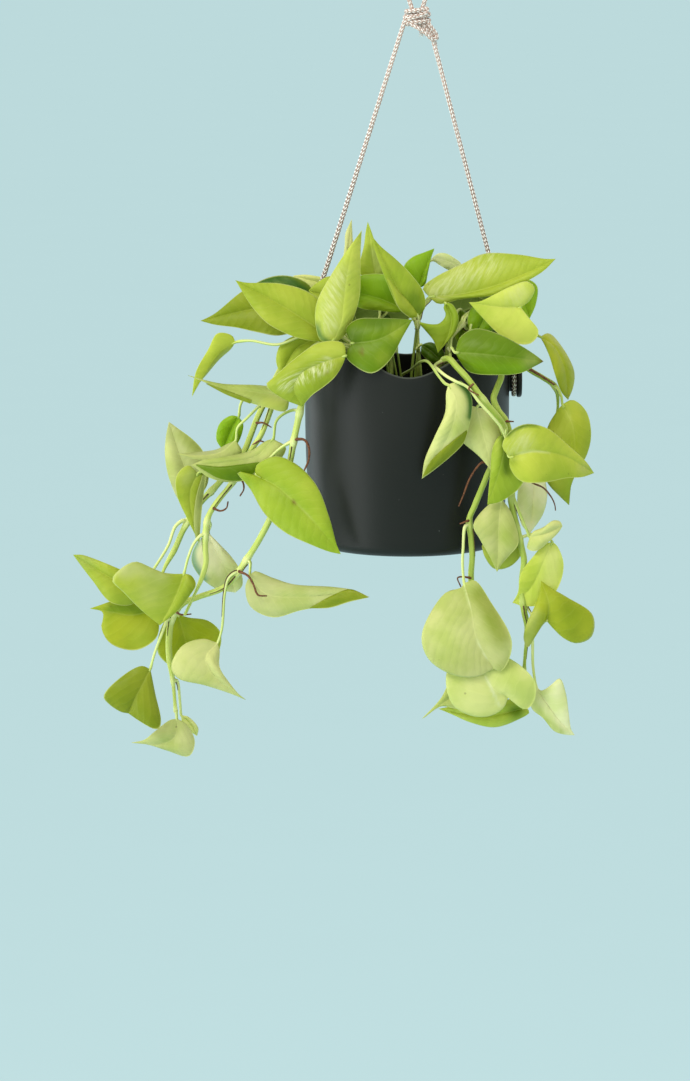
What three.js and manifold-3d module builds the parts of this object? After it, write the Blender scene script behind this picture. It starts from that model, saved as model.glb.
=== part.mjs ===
// A golden pothos in a hanging pot: a thin-walled pot with moulded side knobs, a rope hung on them,
// soil, and leafy stems that stand in the soil, climb over the rim and trail below it.
// Millimetres, +Z up. The origin is the inner top of the rope's hanging loop.
import * as THREE from "three";
import { mergeVertices } from "three/addons/utils/BufferGeometryUtils.js";
import Module from "manifold-3d";

const wasm = await Module();
wasm.setup();

// Driving dimensions of the pot
const RIM_RADIUS = 90;
const FOOT_RADIUS = 84.5;
const FULL_WIDTH_HEIGHT = 120;
const RIM_HEIGHT = 173;
const DIP_DEPTH = 14.5;
const DIP_HALF_ANGLE = THREE.MathUtils.degToRad(33);
const WALL = 3;
const FLOOR = 4;
const FOOT_ROUNDING = 9;
const WALL_ROWS = [60, 110, 140];
const DIP_START = 100;
const FOLD_DEPTH = 1;
const FOLD_START = 60;
const POT_SIDES = 40;

// Knobs that the rope hangs on
const KNOB_HEIGHT = 146;
const NECK_RADIUS = 10.5;
const DISC_RADIUS = 15.5;
const DISC_BEVEL = 1.2;
const NECK_END = 96.5;
const DISC_END = 101;

// Rope
const ROPE_DIAMETER = 4.4;
const ROPE_AT_KNOB = 94;
const ROPE_AT_RIM = 91.6;
const ROPE_AT_RIM_HEIGHT = 180;
const LEG_TOP_LEFT = [-1, 2.6, 466];
const LEG_TOP_RIGHT = [17.5, 2.6, 461];
const KNOT_CENTRE = [8, 0, 463.5];
const KNOT_HALF_SIZE = [13, 9, 11];
const LOOP_TOP = 522;
const LOOP_HALF_WIDTH = 15;

// Soil and stems
const SOIL_TOP = 127;
const SOIL_CROWN = 3;
const SOIL_EDGE_WIDTH = 30;
const HOLE_DEPTH = 25;
const HOLE_CLEARANCE = 1.2;
const PETIOLE_RADIUS = 1.5;
const BLADE_THICKNESS = 0.9;
const BASE_LOBE_END = 0.12;

// Room left between pieces that rest against each other
const GAP = 0.3;

// The plant was measured from one standpoint a little above it: across and up in a tilted plane
// through the pot's axis, and then how far in front of that axis each point is.
const VIEW_TILT = THREE.MathUtils.degToRad(9);
const VIEW_DISTANCE = 4000;
const VIEW_ACROSS = -54.8;
const VIEW_UP = 2.2;

const ORIGIN = new THREE.Vector3(KNOT_CENTRE[0], 0, LOOP_TOP - ROPE_DIAMETER / 2);

// Turns a measured point into a point of the plant.
function seen([across, up, front]) {
  const cos = Math.cos(VIEW_TILT);
  const sin = Math.sin(VIEW_TILT);
  const eyeY = VIEW_UP * sin - VIEW_DISTANCE * cos;
  const eyeZ = VIEW_UP * cos + VIEW_DISTANCE * sin;
  const stepY = VIEW_DISTANCE * cos + (up - VIEW_UP) * sin;
  const stepZ = -VIEW_DISTANCE * sin + (up - VIEW_UP) * cos;
  const share = (-front - eyeY) / stepY;
  return new THREE.Vector3(VIEW_ACROSS + share * (across - VIEW_ACROSS), -front, eyeZ + share * stepZ);
}

// Solids: every shape becomes a closed solid, which can be joined with others or cut.

// The triangles are turned over when they face inward.
function solidFromTriangles(points, triangles) {
  let volume = 0;
  for (const [a, b, c] of triangles) {
    volume += points[a].dot(new THREE.Vector3().crossVectors(points[b], points[c])) / 6;
  }
  const outward = volume > 0 ? triangles : triangles.map(([a, b, c]) => [a, c, b]);
  return new wasm.Manifold(new wasm.Mesh({
    numProp: 3,
    vertProperties: new Float32Array(points.flatMap((p) => [p.x, p.y, p.z])),
    triVerts: new Uint32Array(outward.flat()),
  }));
}

function solidFromGeometry(geometry) {
  const bare = geometry.clone();
  bare.deleteAttribute("normal");
  bare.deleteAttribute("uv");
  const merged = mergeVertices(bare, 1e-4);
  return new wasm.Manifold(new wasm.Mesh({
    numProp: 3,
    vertProperties: new Float32Array(merged.attributes.position.array),
    triVerts: new Uint32Array(merged.index.array),
  }));
}

function geometryFromSolid(solid) {
  const mesh = solid.getMesh();
  const geometry = new THREE.BufferGeometry();
  geometry.setAttribute("position", new THREE.BufferAttribute(new Float32Array(mesh.vertProperties), 3));
  geometry.setIndex(new THREE.BufferAttribute(new Uint32Array(mesh.triVerts), 1));
  geometry.computeVertexNormals();
  return geometry;
}

// A smooth curve with the same number of steps between each two of its points.
class PathThrough extends THREE.CatmullRomCurve3 {
  constructor(points) {
    super(points, false, "centripetal");
  }

  getPointAt(u, target) {
    return this.getPoint(u, target);
  }

  getTangentAt(u, target) {
    return this.getTangent(u, target);
  }
}

// A smooth curve that is sampled by its length.
function curveThrough(points) {
  return new THREE.CatmullRomCurve3(points, false, "centripetal");
}

function roundSection(radius, sides) {
  const section = new THREE.Shape();
  for (let k = 0; k < sides; k += 1) {
    const angle = (2 * Math.PI * k) / sides;
    const x = radius * Math.cos(angle);
    const y = radius * Math.sin(angle);
    if (k === 0) section.moveTo(x, y);
    else section.lineTo(x, y);
  }
  section.closePath();
  return section;
}

function tubeAlong(points, radius, sides, stepsBetween = 1) {
  const geometry = new THREE.ExtrudeGeometry(roundSection(radius, sides), {
    steps: stepsBetween * (points.length - 1),
    curveSegments: 1,
    bevelEnabled: false,
    extrudePath: new PathThrough(points),
  });
  return solidFromGeometry(geometry);
}

// A profile of [radius, height] points turned round the Z axis
function turned(profile, sides) {
  const corners = profile.map(([radius, height]) => new THREE.Vector2(radius, height));
  return solidFromGeometry(new THREE.LatheGeometry(corners, sides).rotateX(Math.PI / 2));
}

function largestPiece(solid) {
  return solid.decompose().sort((a, b) => b.volume() - a.volume())[0];
}

// Pot

function smoothStep(x) {
  const t = THREE.MathUtils.clamp(x, 0, 1);
  return t * t * (3 - 2 * t);
}

// The rim dips in a soft curve at the front and again at the back.
function rimHeight(angle) {
  const offFront = Math.min(Math.abs(angle + Math.PI / 2), Math.abs(angle - Math.PI / 2));
  if (offFront > DIP_HALF_ANGLE) return RIM_HEIGHT;
  return RIM_HEIGHT - (DIP_DEPTH * (1 + Math.cos((Math.PI * offFront) / DIP_HALF_ANGLE))) / 2;
}

// The wall widens upward. Its soft folds grow toward the rim and fade out toward the knobs.
function outerRadius(angle, z) {
  const widening = Math.sin((Math.PI / 2) * Math.min(1, z / FULL_WIDTH_HEIGHT));
  const folds = Math.sin(8 * angle + 0.6) + 0.6 * Math.sin(5 * angle + 1.9);
  const towardRim = smoothStep((z - FOLD_START) / (RIM_HEIGHT - FOLD_START));
  const offKnobs = Math.sin(angle) ** 2;
  return FOOT_RADIUS + (RIM_RADIUS - FOOT_RADIUS) * widening + FOLD_DEPTH * folds * towardRim * offKnobs;
}

// A point of the wall. Above DIP_START the rows are squeezed down so that the last follows the rim.
function wallPoint(height, inset, angle) {
  const squeeze = (rimHeight(angle) - DIP_START) / (RIM_HEIGHT - DIP_START);
  const z = height <= DIP_START ? height : DIP_START + (height - DIP_START) * squeeze;
  const radius = outerRadius(angle, z) - inset;
  return new THREE.Vector3(radius * Math.cos(angle), radius * Math.sin(angle), z);
}

// A solid that follows the wall: rows of [height, offset inward], closed on the axis at both ends.
function ringSolid(rows, startZ, endZ) {
  const points = [];
  const triangles = [];
  for (const [height, inset] of rows) {
    for (let k = 0; k < POT_SIDES; k += 1) {
      points.push(wallPoint(height, inset, -Math.PI + (2 * Math.PI * (k + 0.5)) / POT_SIDES));
    }
  }
  const start = points.push(new THREE.Vector3(0, 0, startZ)) - 1;
  const end = points.push(new THREE.Vector3(0, 0, endZ)) - 1;
  const last = (rows.length - 1) * POT_SIDES;
  for (let k = 0; k < POT_SIDES; k += 1) {
    const next = (k + 1) % POT_SIDES;
    for (let row = 0; row < rows.length - 1; row += 1) {
      const below = row * POT_SIDES;
      const above = below + POT_SIDES;
      triangles.push([below + k, below + next, above + next], [below + k, above + next, above + k]);
    }
    triangles.push([start, next, k], [end, last + k, last + next]);
  }
  return solidFromTriangles(points, triangles);
}

function makePot() {
  const rows = [[0, FOOT_ROUNDING]];
  for (const turn of [45, 90]) {
    const angle = THREE.MathUtils.degToRad(turn);
    rows.push([FOOT_ROUNDING * (1 - Math.cos(angle)), FOOT_ROUNDING * (1 - Math.sin(angle))]);
  }
  const lipStart = RIM_HEIGHT - WALL / 2;
  const lipShoulder = RIM_HEIGHT - WALL * 0.15;
  for (const height of [...WALL_ROWS, lipStart]) rows.push([height, 0]);
  rows.push([lipShoulder, WALL * 0.2], [RIM_HEIGHT, WALL / 2], [lipShoulder, WALL * 0.8]);
  for (const height of [lipStart, ...WALL_ROWS.toReversed()]) rows.push([height, WALL]);
  rows.push([FLOOR + FOOT_ROUNDING / 2, WALL], [FLOOR, WALL + FOOT_ROUNDING / 2]);
  return ringSolid(rows, 0, FLOOR);
}

// The right-hand knob: a neck that starts inside the wall, and a wider disc at its end
function makeKnob() {
  const start = RIM_RADIUS - WALL * 0.6;
  const profile = [
    [0, start], [NECK_RADIUS, start], [NECK_RADIUS, NECK_END], [DISC_RADIUS, NECK_END],
    [DISC_RADIUS, DISC_END - DISC_BEVEL], [DISC_RADIUS - DISC_BEVEL, DISC_END], [0, DISC_END],
  ];
  return turned(profile, 18).rotate([0, 90, 0]).translate([0, 0, KNOB_HEIGHT]);
}

// The soil fills the pot to a low crown and has a plain hole for each stem.
function makeSoil(stems) {
  const corner = WALL + FOOT_ROUNDING / 2;
  const rows = [[FLOOR + GAP, corner + GAP], [FLOOR + FOOT_ROUNDING / 2 + GAP, WALL + GAP]];
  for (const height of [WALL_ROWS[0], SOIL_TOP]) rows.push([height, WALL + GAP]);
  rows.push([SOIL_TOP + SOIL_CROWN * 0.6, SOIL_EDGE_WIDTH]);
  let soil = ringSolid(rows, FLOOR + GAP, SOIL_TOP + SOIL_CROWN);
  for (const { root, radius } of stems) {
    const wide = radius + HOLE_CLEARANCE;
    const tall = HOLE_DEPTH + 4 * SOIL_CROWN;
    const hole = turned([[0, 0], [wide, 0], [wide, tall], [0, tall]], 8);
    soil = soil.subtract(hole.translate([root[0], root[1], SOIL_TOP - HOLE_DEPTH]));
  }
  return soil;
}

// Rope

// A leg goes from the knot down to one knob, under its neck and back up on the other side.
function ropeLegPoints(side, top) {
  const bend = NECK_RADIUS + GAP + ROPE_DIAMETER / 2;
  const start = new THREE.Vector3(...top);
  const atRim = new THREE.Vector3(side * ROPE_AT_RIM, bend, ROPE_AT_RIM_HEIGHT);
  const down = [];
  for (const share of [0, 0.25, 0.5, 0.75, 1]) down.push(start.clone().lerp(atRim, share));
  const atNeck = new THREE.Vector3(side * ROPE_AT_KNOB, bend, KNOB_HEIGHT);
  down.push(atRim.clone().lerp(atNeck, 0.5));
  for (let turn = 0; turn < 90; turn += 15) {
    const angle = THREE.MathUtils.degToRad(turn);
    const below = bend * Math.sin(angle);
    down.push(new THREE.Vector3(side * ROPE_AT_KNOB, bend * Math.cos(angle), KNOB_HEIGHT - below));
  }
  const lowest = new THREE.Vector3(side * ROPE_AT_KNOB, 0, KNOB_HEIGHT - bend);
  const up = down.map((p) => new THREE.Vector3(p.x, -p.y, p.z)).reverse();
  return [...down, lowest, ...up];
}

// The knot is one firm lump, because its turns are pulled tight. extra makes it that much larger all round.
function knotBody(extra) {
  const [width, depth, height] = KNOT_HALF_SIZE.map((size) => size + extra);
  const ball = solidFromGeometry(new THREE.SphereGeometry(1, 14, 9).rotateX(Math.PI / 2));
  return ball.scale([width, depth, height]).translate(KNOT_CENTRE);
}

function makeRopeLeg(side) {
  const top = side < 0 ? LEG_TOP_LEFT : LEG_TOP_RIGHT;
  return largestPiece(tubeAlong(ropeLegPoints(side, top), ROPE_DIAMETER / 2, 8).subtract(knotBody(GAP)));
}

// The loop above the knot, as half widths and heights of one side
function makeRopeLoop() {
  const [x, , z] = KNOT_CENTRE;
  const shoulder = LOOP_TOP - LOOP_HALF_WIDTH;
  const side = [
    [4, z + 6], [8, z + 18], [LOOP_HALF_WIDTH, shoulder - 8], [LOOP_HALF_WIDTH * 0.9, shoulder + 5],
  ];
  const points = [
    ...side.map(([half, height]) => new THREE.Vector3(x - half, 0, height)),
    new THREE.Vector3(x, 0, LOOP_TOP),
    ...side.toReversed().map(([half, height]) => new THREE.Vector3(x + half, 0, height)),
  ];
  return largestPiece(tubeAlong(points, ROPE_DIAMETER / 2, 8, 2).subtract(knotBody(GAP)));
}

// Leaves

// A blade is measured by its midrib, its two margins and how far each margin leans to the front.
// Both halves are ruled from the midrib to the margin along the side veins and bellied a little.
// The first rows of the margin belong to the lobes behind the stalk, so the midrib waits for them.
function bladePoints(leaf, rows) {
  const rib = curveThrough(leaf.midrib.map((p) => new THREE.Vector3(...p)));
  const grid = [];
  for (const [side, margin] of [leaf.left, leaf.right].entries()) {
    const edge = curveThrough([
      rib.getPoint(0),
      ...margin.map(([across, up]) => new THREE.Vector3(across, up, 0)),
      rib.getPoint(1),
    ].map((p) => p.clone().setZ(0)));
    const lobe = leaf.lobe ?? 0.25;
    const samples = [];
    for (let row = 0; row <= rows; row += 1) {
      const t = row / rows;
      const pastLobe = BASE_LOBE_END + ((1 - BASE_LOBE_END) * (t - lobe)) / (1 - lobe);
      const s = t < lobe ? (BASE_LOBE_END * t) / lobe : pastLobe;
      const onRib = rib.getPointAt(s);
      const onEdge = edge.getPointAt(t);
      samples.push({ onRib, onEdge, width: Math.hypot(onEdge.x - onRib.x, onEdge.y - onRib.y) });
    }
    const widest = Math.max(...samples.map((sample) => sample.width));
    samples.forEach(({ onRib, onEdge, width }, row) => {
      const share = width / widest;
      onEdge.z = onRib.z + (leaf.lean?.[side] ?? 0) * share;
      const middle = onRib.clone().lerp(onEdge, 0.5);
      middle.z += (leaf.belly ?? 3) * share;
      grid[row] ??= { rib: onRib, halves: [] };
      grid[row].halves[side] = [middle, onEdge];
    });
  }
  return grid;
}

// A blade of even thickness: both faces have the same triangles, and a narrow edge joins them.
function makeBlade(leaf) {
  const rows = leaf.rows ?? 5;
  const grid = bladePoints(leaf, rows);
  const middle = [seen(grid[0].rib.toArray())];
  for (let row = 1; row < rows; row += 1) {
    const { rib, halves } = grid[row];
    for (const point of [halves[0][1], halves[0][0], rib, halves[1][0], halves[1][1]]) {
      middle.push(seen(point.toArray()));
    }
  }
  middle.push(seen(grid[rows].rib.toArray()));
  const tip = middle.length - 1;
  const at = (row, column) => (row === 0 ? 0 : row === rows ? tip : 1 + (row - 1) * 5 + column);
  const face = [];
  for (let row = 0; row < rows; row += 1) {
    for (let column = 0; column < 4; column += 1) {
      if (row > 0) face.push([at(row, column), at(row, column + 1), at(row + 1, column)]);
      if (row < rows - 1) face.push([at(row, column + 1), at(row + 1, column + 1), at(row + 1, column)]);
    }
  }
  // Half the thickness goes to each side, along the mean direction of the faces round a point.
  const normals = middle.map(() => new THREE.Vector3());
  for (const [a, b, c] of face) {
    const normal = new THREE.Vector3().crossVectors(
      middle[b].clone().sub(middle[a]), middle[c].clone().sub(middle[a]),
    ).normalize();
    for (const corner of [a, b, c]) normals[corner].add(normal);
  }
  const over = middle.map((p, k) => p.clone().addScaledVector(normals[k].normalize(), BLADE_THICKNESS / 2));
  const under = middle.map((p, k) => p.clone().addScaledVector(normals[k], -BLADE_THICKNESS / 2));
  const count = middle.length;
  const triangles = face.flatMap(([a, b, c]) => [[a, b, c], [count + a, count + c, count + b]]);
  const outline = [0];
  for (let row = 1; row < rows; row += 1) outline.push(at(row, 0));
  outline.push(tip);
  for (let row = rows - 1; row > 0; row -= 1) outline.push(at(row, 4));
  outline.forEach((here, k) => {
    const next = outline[(k + 1) % outline.length];
    triangles.push([here, next, count + next], [here, count + next, count + here]);
  });
  return solidFromTriangles([...over, ...under], triangles);
}

function nearestOn(path, point) {
  const samples = curveThrough(path).getSpacedPoints(200);
  return samples.reduce((best, p) => (p.distanceTo(point) < best.distanceTo(point) ? p : best));
}

// The stalk leaves the stem at its nearest point and ends inside the foot of the midrib.
function makePetiole(leaf, stemPath) {
  const rib = curveThrough(leaf.midrib.map((p) => new THREE.Vector3(...p)));
  const visible = leaf.petiole.map(seen);
  const path = [
    nearestOn(stemPath, visible[0]), ...visible,
    seen(rib.getPointAt(0.04).toArray()),
  ];
  return tubeAlong(path, PETIOLE_RADIUS, 4);
}

function stemPathOf(vine) {
  const [x, y] = vine.root;
  return [
    new THREE.Vector3(x, y, SOIL_TOP - HOLE_DEPTH + GAP),
    new THREE.Vector3(x, y, SOIL_TOP - HOLE_DEPTH / 2),
    new THREE.Vector3(x, y, SOIL_TOP + SOIL_CROWN + 3),
    ...vine.stem.map(seen),
  ];
}

function makeVine(vine) {
  const stemPath = stemPathOf(vine);
  const pieces = [tubeAlong(stemPath, vine.radius, 6)];
  for (const leaf of vine.leaves) pieces.push(makePetiole(leaf, stemPath), makeBlade(leaf));
  return wasm.Manifold.union(pieces);
}

// Each leafy stem: root is its place in the soil. The stem, petiole and midrib points are across, up
// and front, and the margin points are across and up. lobe is the share of a margin that lies behind the
// stalk, belly how far the halves bulge to the front, and rows how many steps a blade has.
// Leaf names tell the place: A upper left, B upper middle, C upper right, D and E right-hand trails,
// F and G left-hand trails, H the back.
const VINES = [
  {
    name: "crown_left",
    root: [-34, -44],
    radius: 2.6,
    stem: [[-38, 150, 50], [-45, 175, 52]],
    leaves: [
      {
        name: "A1",
        petiole: [[-50, 172, 56], [-58, 176, 60]],
        midrib: [[-67, 182, 60], [-110, 210, 55], [-152, 233, 48]],
        left: [[-64, 192], [-71, 209], [-88, 223], [-112, 230], [-143, 231]],
        right: [[-78, 171], [-94, 175], [-110, 186], [-122, 193], [-137, 209]],
        lean: [-8, 10],
      },
      {
        name: "A2",
        petiole: [[-48, 162, 62], [-58, 168, 71]],
        midrib: [
          [-66, 177, 76], [-58, 195, 76], [-56, 212, 72], [-53, 238, 63], [-46, 268, 53], [-40, 277, 50],
        ],
        left: [[-76, 179], [-81, 194], [-80, 213], [-67, 238], [-52, 261]],
        right: [[-57, 182], [-48, 198], [-42, 218], [-41, 238], [-41, 257]],
        lean: [-8, -14],
      },
      {
        name: "A3",
        petiole: [[-40, 166, 64], [-48, 172, 80]],
        midrib: [[-54, 166, 88], [-74, 160, 93], [-94, 150, 95], [-100, 136, 93], [-93, 121, 88]],
        left: [[-56, 177], [-77, 178], [-100, 163], [-118, 147], [-125, 140], [-110, 128]],
        right: [[-57, 158], [-64, 147], [-73, 139], [-84, 131]],
        lean: [-6, 2],
      },
      {
        name: "A4",
        petiole: [[-56, 176, 50], [-74, 179, 51], [-90, 168, 55], [-101, 146, 61]],
        midrib: [[-104, 129, 62], [-130, 133, 56], [-163, 139, 46], [-194, 148.5, 36]],
        left: [[-107, 136], [-129, 139.8], [-165, 141.5]],
        right: [[-107, 117], [-124, 120], [-155, 130], [-178, 142]],
        lean: [-10, 6],
      },
      {
        name: "A5",
        petiole: [[-56, 186, 50], [-70, 187, 48]],
        midrib: [[-80, 182, 45], [-98, 172, 46], [-112, 148, 46]],
        left: [[-90, 186], [-111, 177], [-116, 163]],
        right: [[-78, 170], [-90, 157], [-104, 150]],
        rows: 4,
      },
      {
        name: "A6",
        petiole: [[-58, 186, 34], [-74, 200, 26]],
        midrib: [[-84, 213, 22], [-115, 211, 19], [-150, 205, 14], [-183, 197, 8]],
        left: [[-85, 227], [-100, 236], [-119, 236.5], [-145, 224], [-171, 203]],
        right: [[-90, 194], [-112, 184], [-133, 187], [-151, 191], [-170, 193.5]],
        lean: [-6, 8],
      },
      {
        name: "A8",
        petiole: [[-52, 196, 24], [-56, 216, -6]],
        midrib: [[-60, 226, -16], [-80, 232, -18], [-101, 237, -20]],
        left: [[-62, 239], [-76, 242], [-91, 240.5]],
        right: [[-66, 218], [-82, 222], [-95, 231]],
        rows: 4,
      },
      {
        name: "A9",
        petiole: [[-52, 184, 48], [-56, 196, 46]],
        midrib: [[-62, 206, 44], [-72, 218, 41], [-87, 224, 36]],
        left: [[-59, 222], [-67, 236.5], [-81, 230]],
        right: [[-70, 206], [-81, 214]],
        rows: 4,
      },
      {
        name: "A10",
        petiole: [[-50, 190, 48], [-53, 206, 43]],
        midrib: [[-56, 220, 40], [-53, 250, 38], [-49, 287, 30]],
        left: [[-70, 226], [-65, 250], [-55, 273]],
        right: [[-46, 226], [-42, 246], [-45, 269]],
        lean: [-2, -4],
      },
      {
        name: "F1",
        petiole: [[-62, 184, 50], [-90, 184, 54], [-114.6, 176, 51], [-138.7, 179.4, 43]],
        midrib: [[-152, 178, 36], [-165, 170, 36], [-179, 150, 32], [-190.6, 130, 26]],
        left: [[-155, 184], [-168, 186], [-176, 172], [-187, 152]],
        right: [[-156, 172], [-166, 163], [-177, 150], [-186, 139]],
        lean: [4, -24],
      },
      {
        name: "B6",
        petiole: [[-40, 168, 60], [-46, 178, 72]],
        midrib: [[-49, 177, 80], [-24, 181, 84], [5, 198, 78]],
        left: [[-49, 190], [-36, 198], [-17, 201], [-3, 200]],
        right: [[-54, 166], [-46, 157], [-31, 150.5], [-16, 161], [-3, 184]],
        lean: [-12, 6],
      },
    ],
  },
  {
    name: "crown_centre",
    root: [6, -20],
    radius: 2.8,
    stem: [[10, 160, 26], [9, 198, 26]],
    leaves: [
      {
        name: "B1",
        petiole: [[6, 200, 22], [-8, 216, 20], [-20, 228, 20]],
        midrib: [[-27, 233, 20], [-31, 258, 18], [-34.6, 285, 14]],
        left: [[-35, 238], [-40, 256], [-38, 271]],
        right: [[-21, 238], [-22, 256], [-29, 272]],
        rows: 4,
      },
      {
        name: "B2",
        petiole: [[10, 190, 34], [11, 194, 44]],
        midrib: [[10, 201, 48], [-2, 216, 50], [-14, 238, 47], [-30, 271, 40]],
        left: [[3, 200], [-7, 208], [-14, 222], [-24, 247], [-29, 262]],
        right: [[16, 208], [15, 222], [4, 238], [-10, 252], [-23, 263]],
        lean: [6, -10],
      },
      {
        name: "B3",
        petiole: [[6, 198, 28], [4, 204, 28]],
        midrib: [[0, 206, 30], [-25, 217, 28], [-60, 225, 20]],
        left: [[2, 224], [-14, 237], [-38, 238], [-53, 232]],
        right: [[-6, 200], [-26, 205], [-49, 214]],
      },
      {
        name: "B7",
        petiole: [[9, 204, 20], [10, 216, 14]],
        midrib: [[11, 226, 10], [17, 244, 8], [24.4, 261.3, 4]],
        left: [[2, 231], [-3, 244], [4, 253], [16, 258]],
        right: [[16, 229], [19, 241], [21.5, 252]],
        rows: 4,
      },
      {
        name: "B8",
        petiole: [[12, 196, 16], [28, 214, -4]],
        midrib: [[45, 234, -8], [34, 251, -4], [13.6, 246, 0]],
        left: [[50, 246], [44, 255], [31, 258], [20, 253]],
        right: [[42, 238], [36, 242], [27, 244]],
        rows: 4,
      },
      {
        name: "B9",
        petiole: [[9, 172, 34]],
        midrib: [[13, 176, 41], [24, 168, 43], [30, 160, 44]],
        left: [[22, 178], [33, 169]],
        right: [[13, 168], [23, 160]],
        rows: 4,
      },
      {
        name: "C1",
        petiole: [[12, 206, 30]],
        midrib: [[20, 218, 32], [50, 221, 39], [78, 228, 43], [105, 239, 45], [132, 252, 44]],
        left: [[14, 226], [24, 235], [50, 248], [68, 256.5], [98, 256], [123, 252]],
        right: [[28, 212], [47, 216], [78, 220], [100, 229], [121, 241]],
        lean: [-14, 6],
      },
    ],
  },
  {
    name: "crown_right",
    root: [34, -32],
    radius: 3,
    stem: [[37, 160, 40], [39, 181, 42], [50, 195, 36]],
    leaves: [
      {
        name: "C2",
        petiole: [[54, 198, 36], [80, 205, 44]],
        midrib: [[101, 209, 53], [85, 209, 57], [70, 211, 59], [55, 213.5, 60]],
        left: [[109, 215], [113.6, 226], [107, 232], [93, 228], [78, 220.5], [64, 214]],
        right: [[108, 200], [117, 187], [110, 177], [96, 177], [82, 185], [67, 200]],
        lean: [-6, 8],
        lobe: 0.35,
      },
      {
        name: "C3",
        petiole: [[39, 170, 54], [40, 173, 70]],
        midrib: [[43, 169, 83], [62, 168, 90], [90, 165, 94], [121.3, 161, 88]],
        left: [[47, 182], [60, 190], [80, 186], [103, 174], [115, 166]],
        right: [[48, 160], [56, 151.5], [80, 149], [101, 150.7], [114, 157]],
        lean: [-12, -2],
      },
      {
        name: "C4",
        petiole: [[50, 200, 28], [74, 216, 22]],
        midrib: [[96, 228, 22], [104, 214, 22], [109, 199, 20]],
        left: [[106, 234], [115.5, 228], [114.5, 212]],
        right: [[90, 222], [94, 210], [102, 202]],
        rows: 4,
      },
      {
        name: "C5",
        petiole: [[38, 190, 40], [36, 204, 38]],
        midrib: [[33, 213, 44], [39, 200, 50], [36, 184, 54], [27.4, 168.5, 54]],
        left: [[26, 212], [17, 204], [9.5, 197], [15, 187], [23, 175]],
        right: [[40, 212], [46, 199], [44, 187], [35, 176]],
        belly: 4,
      },
      {
        name: "C6",
        petiole: [[42, 192, 36], [45, 206, 28]],
        midrib: [[48, 207, 24], [50, 190, 25], [46, 176, 26]],
        left: [[56, 202], [57, 188], [52, 180]],
        right: [[42, 202], [41, 188]],
        rows: 4,
      },
      {
        name: "C7",
        petiole: [[52, 200, 32], [64, 210, 30]],
        midrib: [[70, 212, 30], [68, 198, 34], [60, 184, 36]],
        left: [[82, 206], [80, 192], [70, 186]],
        right: [[57, 208], [54, 194]],
        rows: 4,
      },
      {
        name: "D6",
        petiole: [[52, 192, 40], [84, 194, 44], [108, 186, 44]],
        midrib: [[118, 183, 42], [130, 175, 42], [140, 155, 42], [143, 127, 36]],
        left: [[126, 186], [139, 172], [148.5, 152], [147.5, 138]],
        right: [[122, 176], [127, 164], [131.5, 149], [137, 134]],
        lean: [-14, 10],
      },
    ],
  },
  {
    name: "vine_right_inner",
    root: [16, -54],
    radius: 2.9,
    stem: [
      [30, 158, 66], [38.5, 165, 80], [44.5, 157, 92], [48, 150, 97], [59, 142.6, 102], [70, 128, 106],
      [81, 116, 104], [87, 105.5, 98], [87, 95, 90], [83, 80, 85], [74, 66, 84], [67.6, 51, 84],
      [60, 32.5, 84], [55.5, 21, 84], [57, 5, 84], [58, -12, 84], [57, -30, 82], [60, -60, 78],
      [66, -90, 76], [70, -106, 75],
    ],
    leaves: [
      {
        name: "D1",
        petiole: [[13, 150, 58], [14.5, 160, 68], [19, 161, 80], [25, 148, 98], [33, 141, 103]],
        midrib: [[37, 140, 105], [44, 125, 111], [41, 105, 112], [31, 84, 106], [13.4, 57, 98]],
        left: [[35, 134], [34, 116], [25, 95], [16, 74]],
        right: [[47, 144], [57, 131], [57, 112], [50, 89], [39, 77], [22, 63]],
        lean: [-4, -8],
      },
      {
        name: "D2",
        petiole: [[68, 128, 99], [66, 124, 94]],
        midrib: [[62, 120, 90], [66, 104, 95], [71, 84, 95], [75, 64, 92]],
        left: [[57, 121.5], [50, 108], [44, 94], [52, 87], [65, 76]],
        right: [[69, 119], [78, 109], [84, 98], [82, 82], [77, 70]],
        lean: [-4, -6],
      },
      {
        name: "D3",
        petiole: [[88, 101, 97]],
        midrib: [[88, 97, 97], [85, 75, 101], [79, 54, 101], [71.5, 34, 97]],
        left: [[81, 94], [75.5, 82], [74, 62], [72.5, 46]],
        right: [[96, 92], [104, 74], [103, 53], [84, 37]],
        lean: [-2, -4],
      },
      {
        name: "D4",
        petiole: [
          [29, 162, 80], [32, 157, 88], [36, 150, 97], [44, 143.5, 105], [54, 138, 106], [65, 124, 109],
          [76, 113, 111], [84, 103, 108], [88, 92, 106],
        ],
        midrib: [[91, 76, 110], [115, 81, 112], [140, 77, 105], [166, 62, 90]],
        left: [[84.5, 86], [90.5, 98], [105, 105.5], [124, 102], [145, 85], [160, 71]],
        right: [[91.5, 67], [101, 55], [122, 53.7], [142, 57.6], [156, 58.5]],
        lean: [0, 4],
      },
      {
        name: "E1",
        petiole: [[52, 15, 87], [50, -5, 89], [49.5, -20, 90]],
        midrib: [[51, -36, 92], [57, -59, 100], [62, -85, 102], [77, -111.5, 98]],
        left: [[47, -41], [36, -43], [22, -60], [13, -84], [20, -104], [44, -118], [64, -118]],
        right: [[60, -33], [75, -53], [93, -86], [90, -105], [83, -114]],
      },
      {
        name: "E7",
        petiole: [[64, -112, 76]],
        midrib: [[60, -126, 80], [38, -138, 84], [13.4, -156, 84]],
        left: [[58, -114], [40, -121], [30, -138]],
        right: [[62, -140], [46, -147], [30, -145]],
        rows: 4,
      },
    ],
  },
  {
    name: "vine_right_outer",
    root: [56, -36],
    radius: 2.9,
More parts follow.
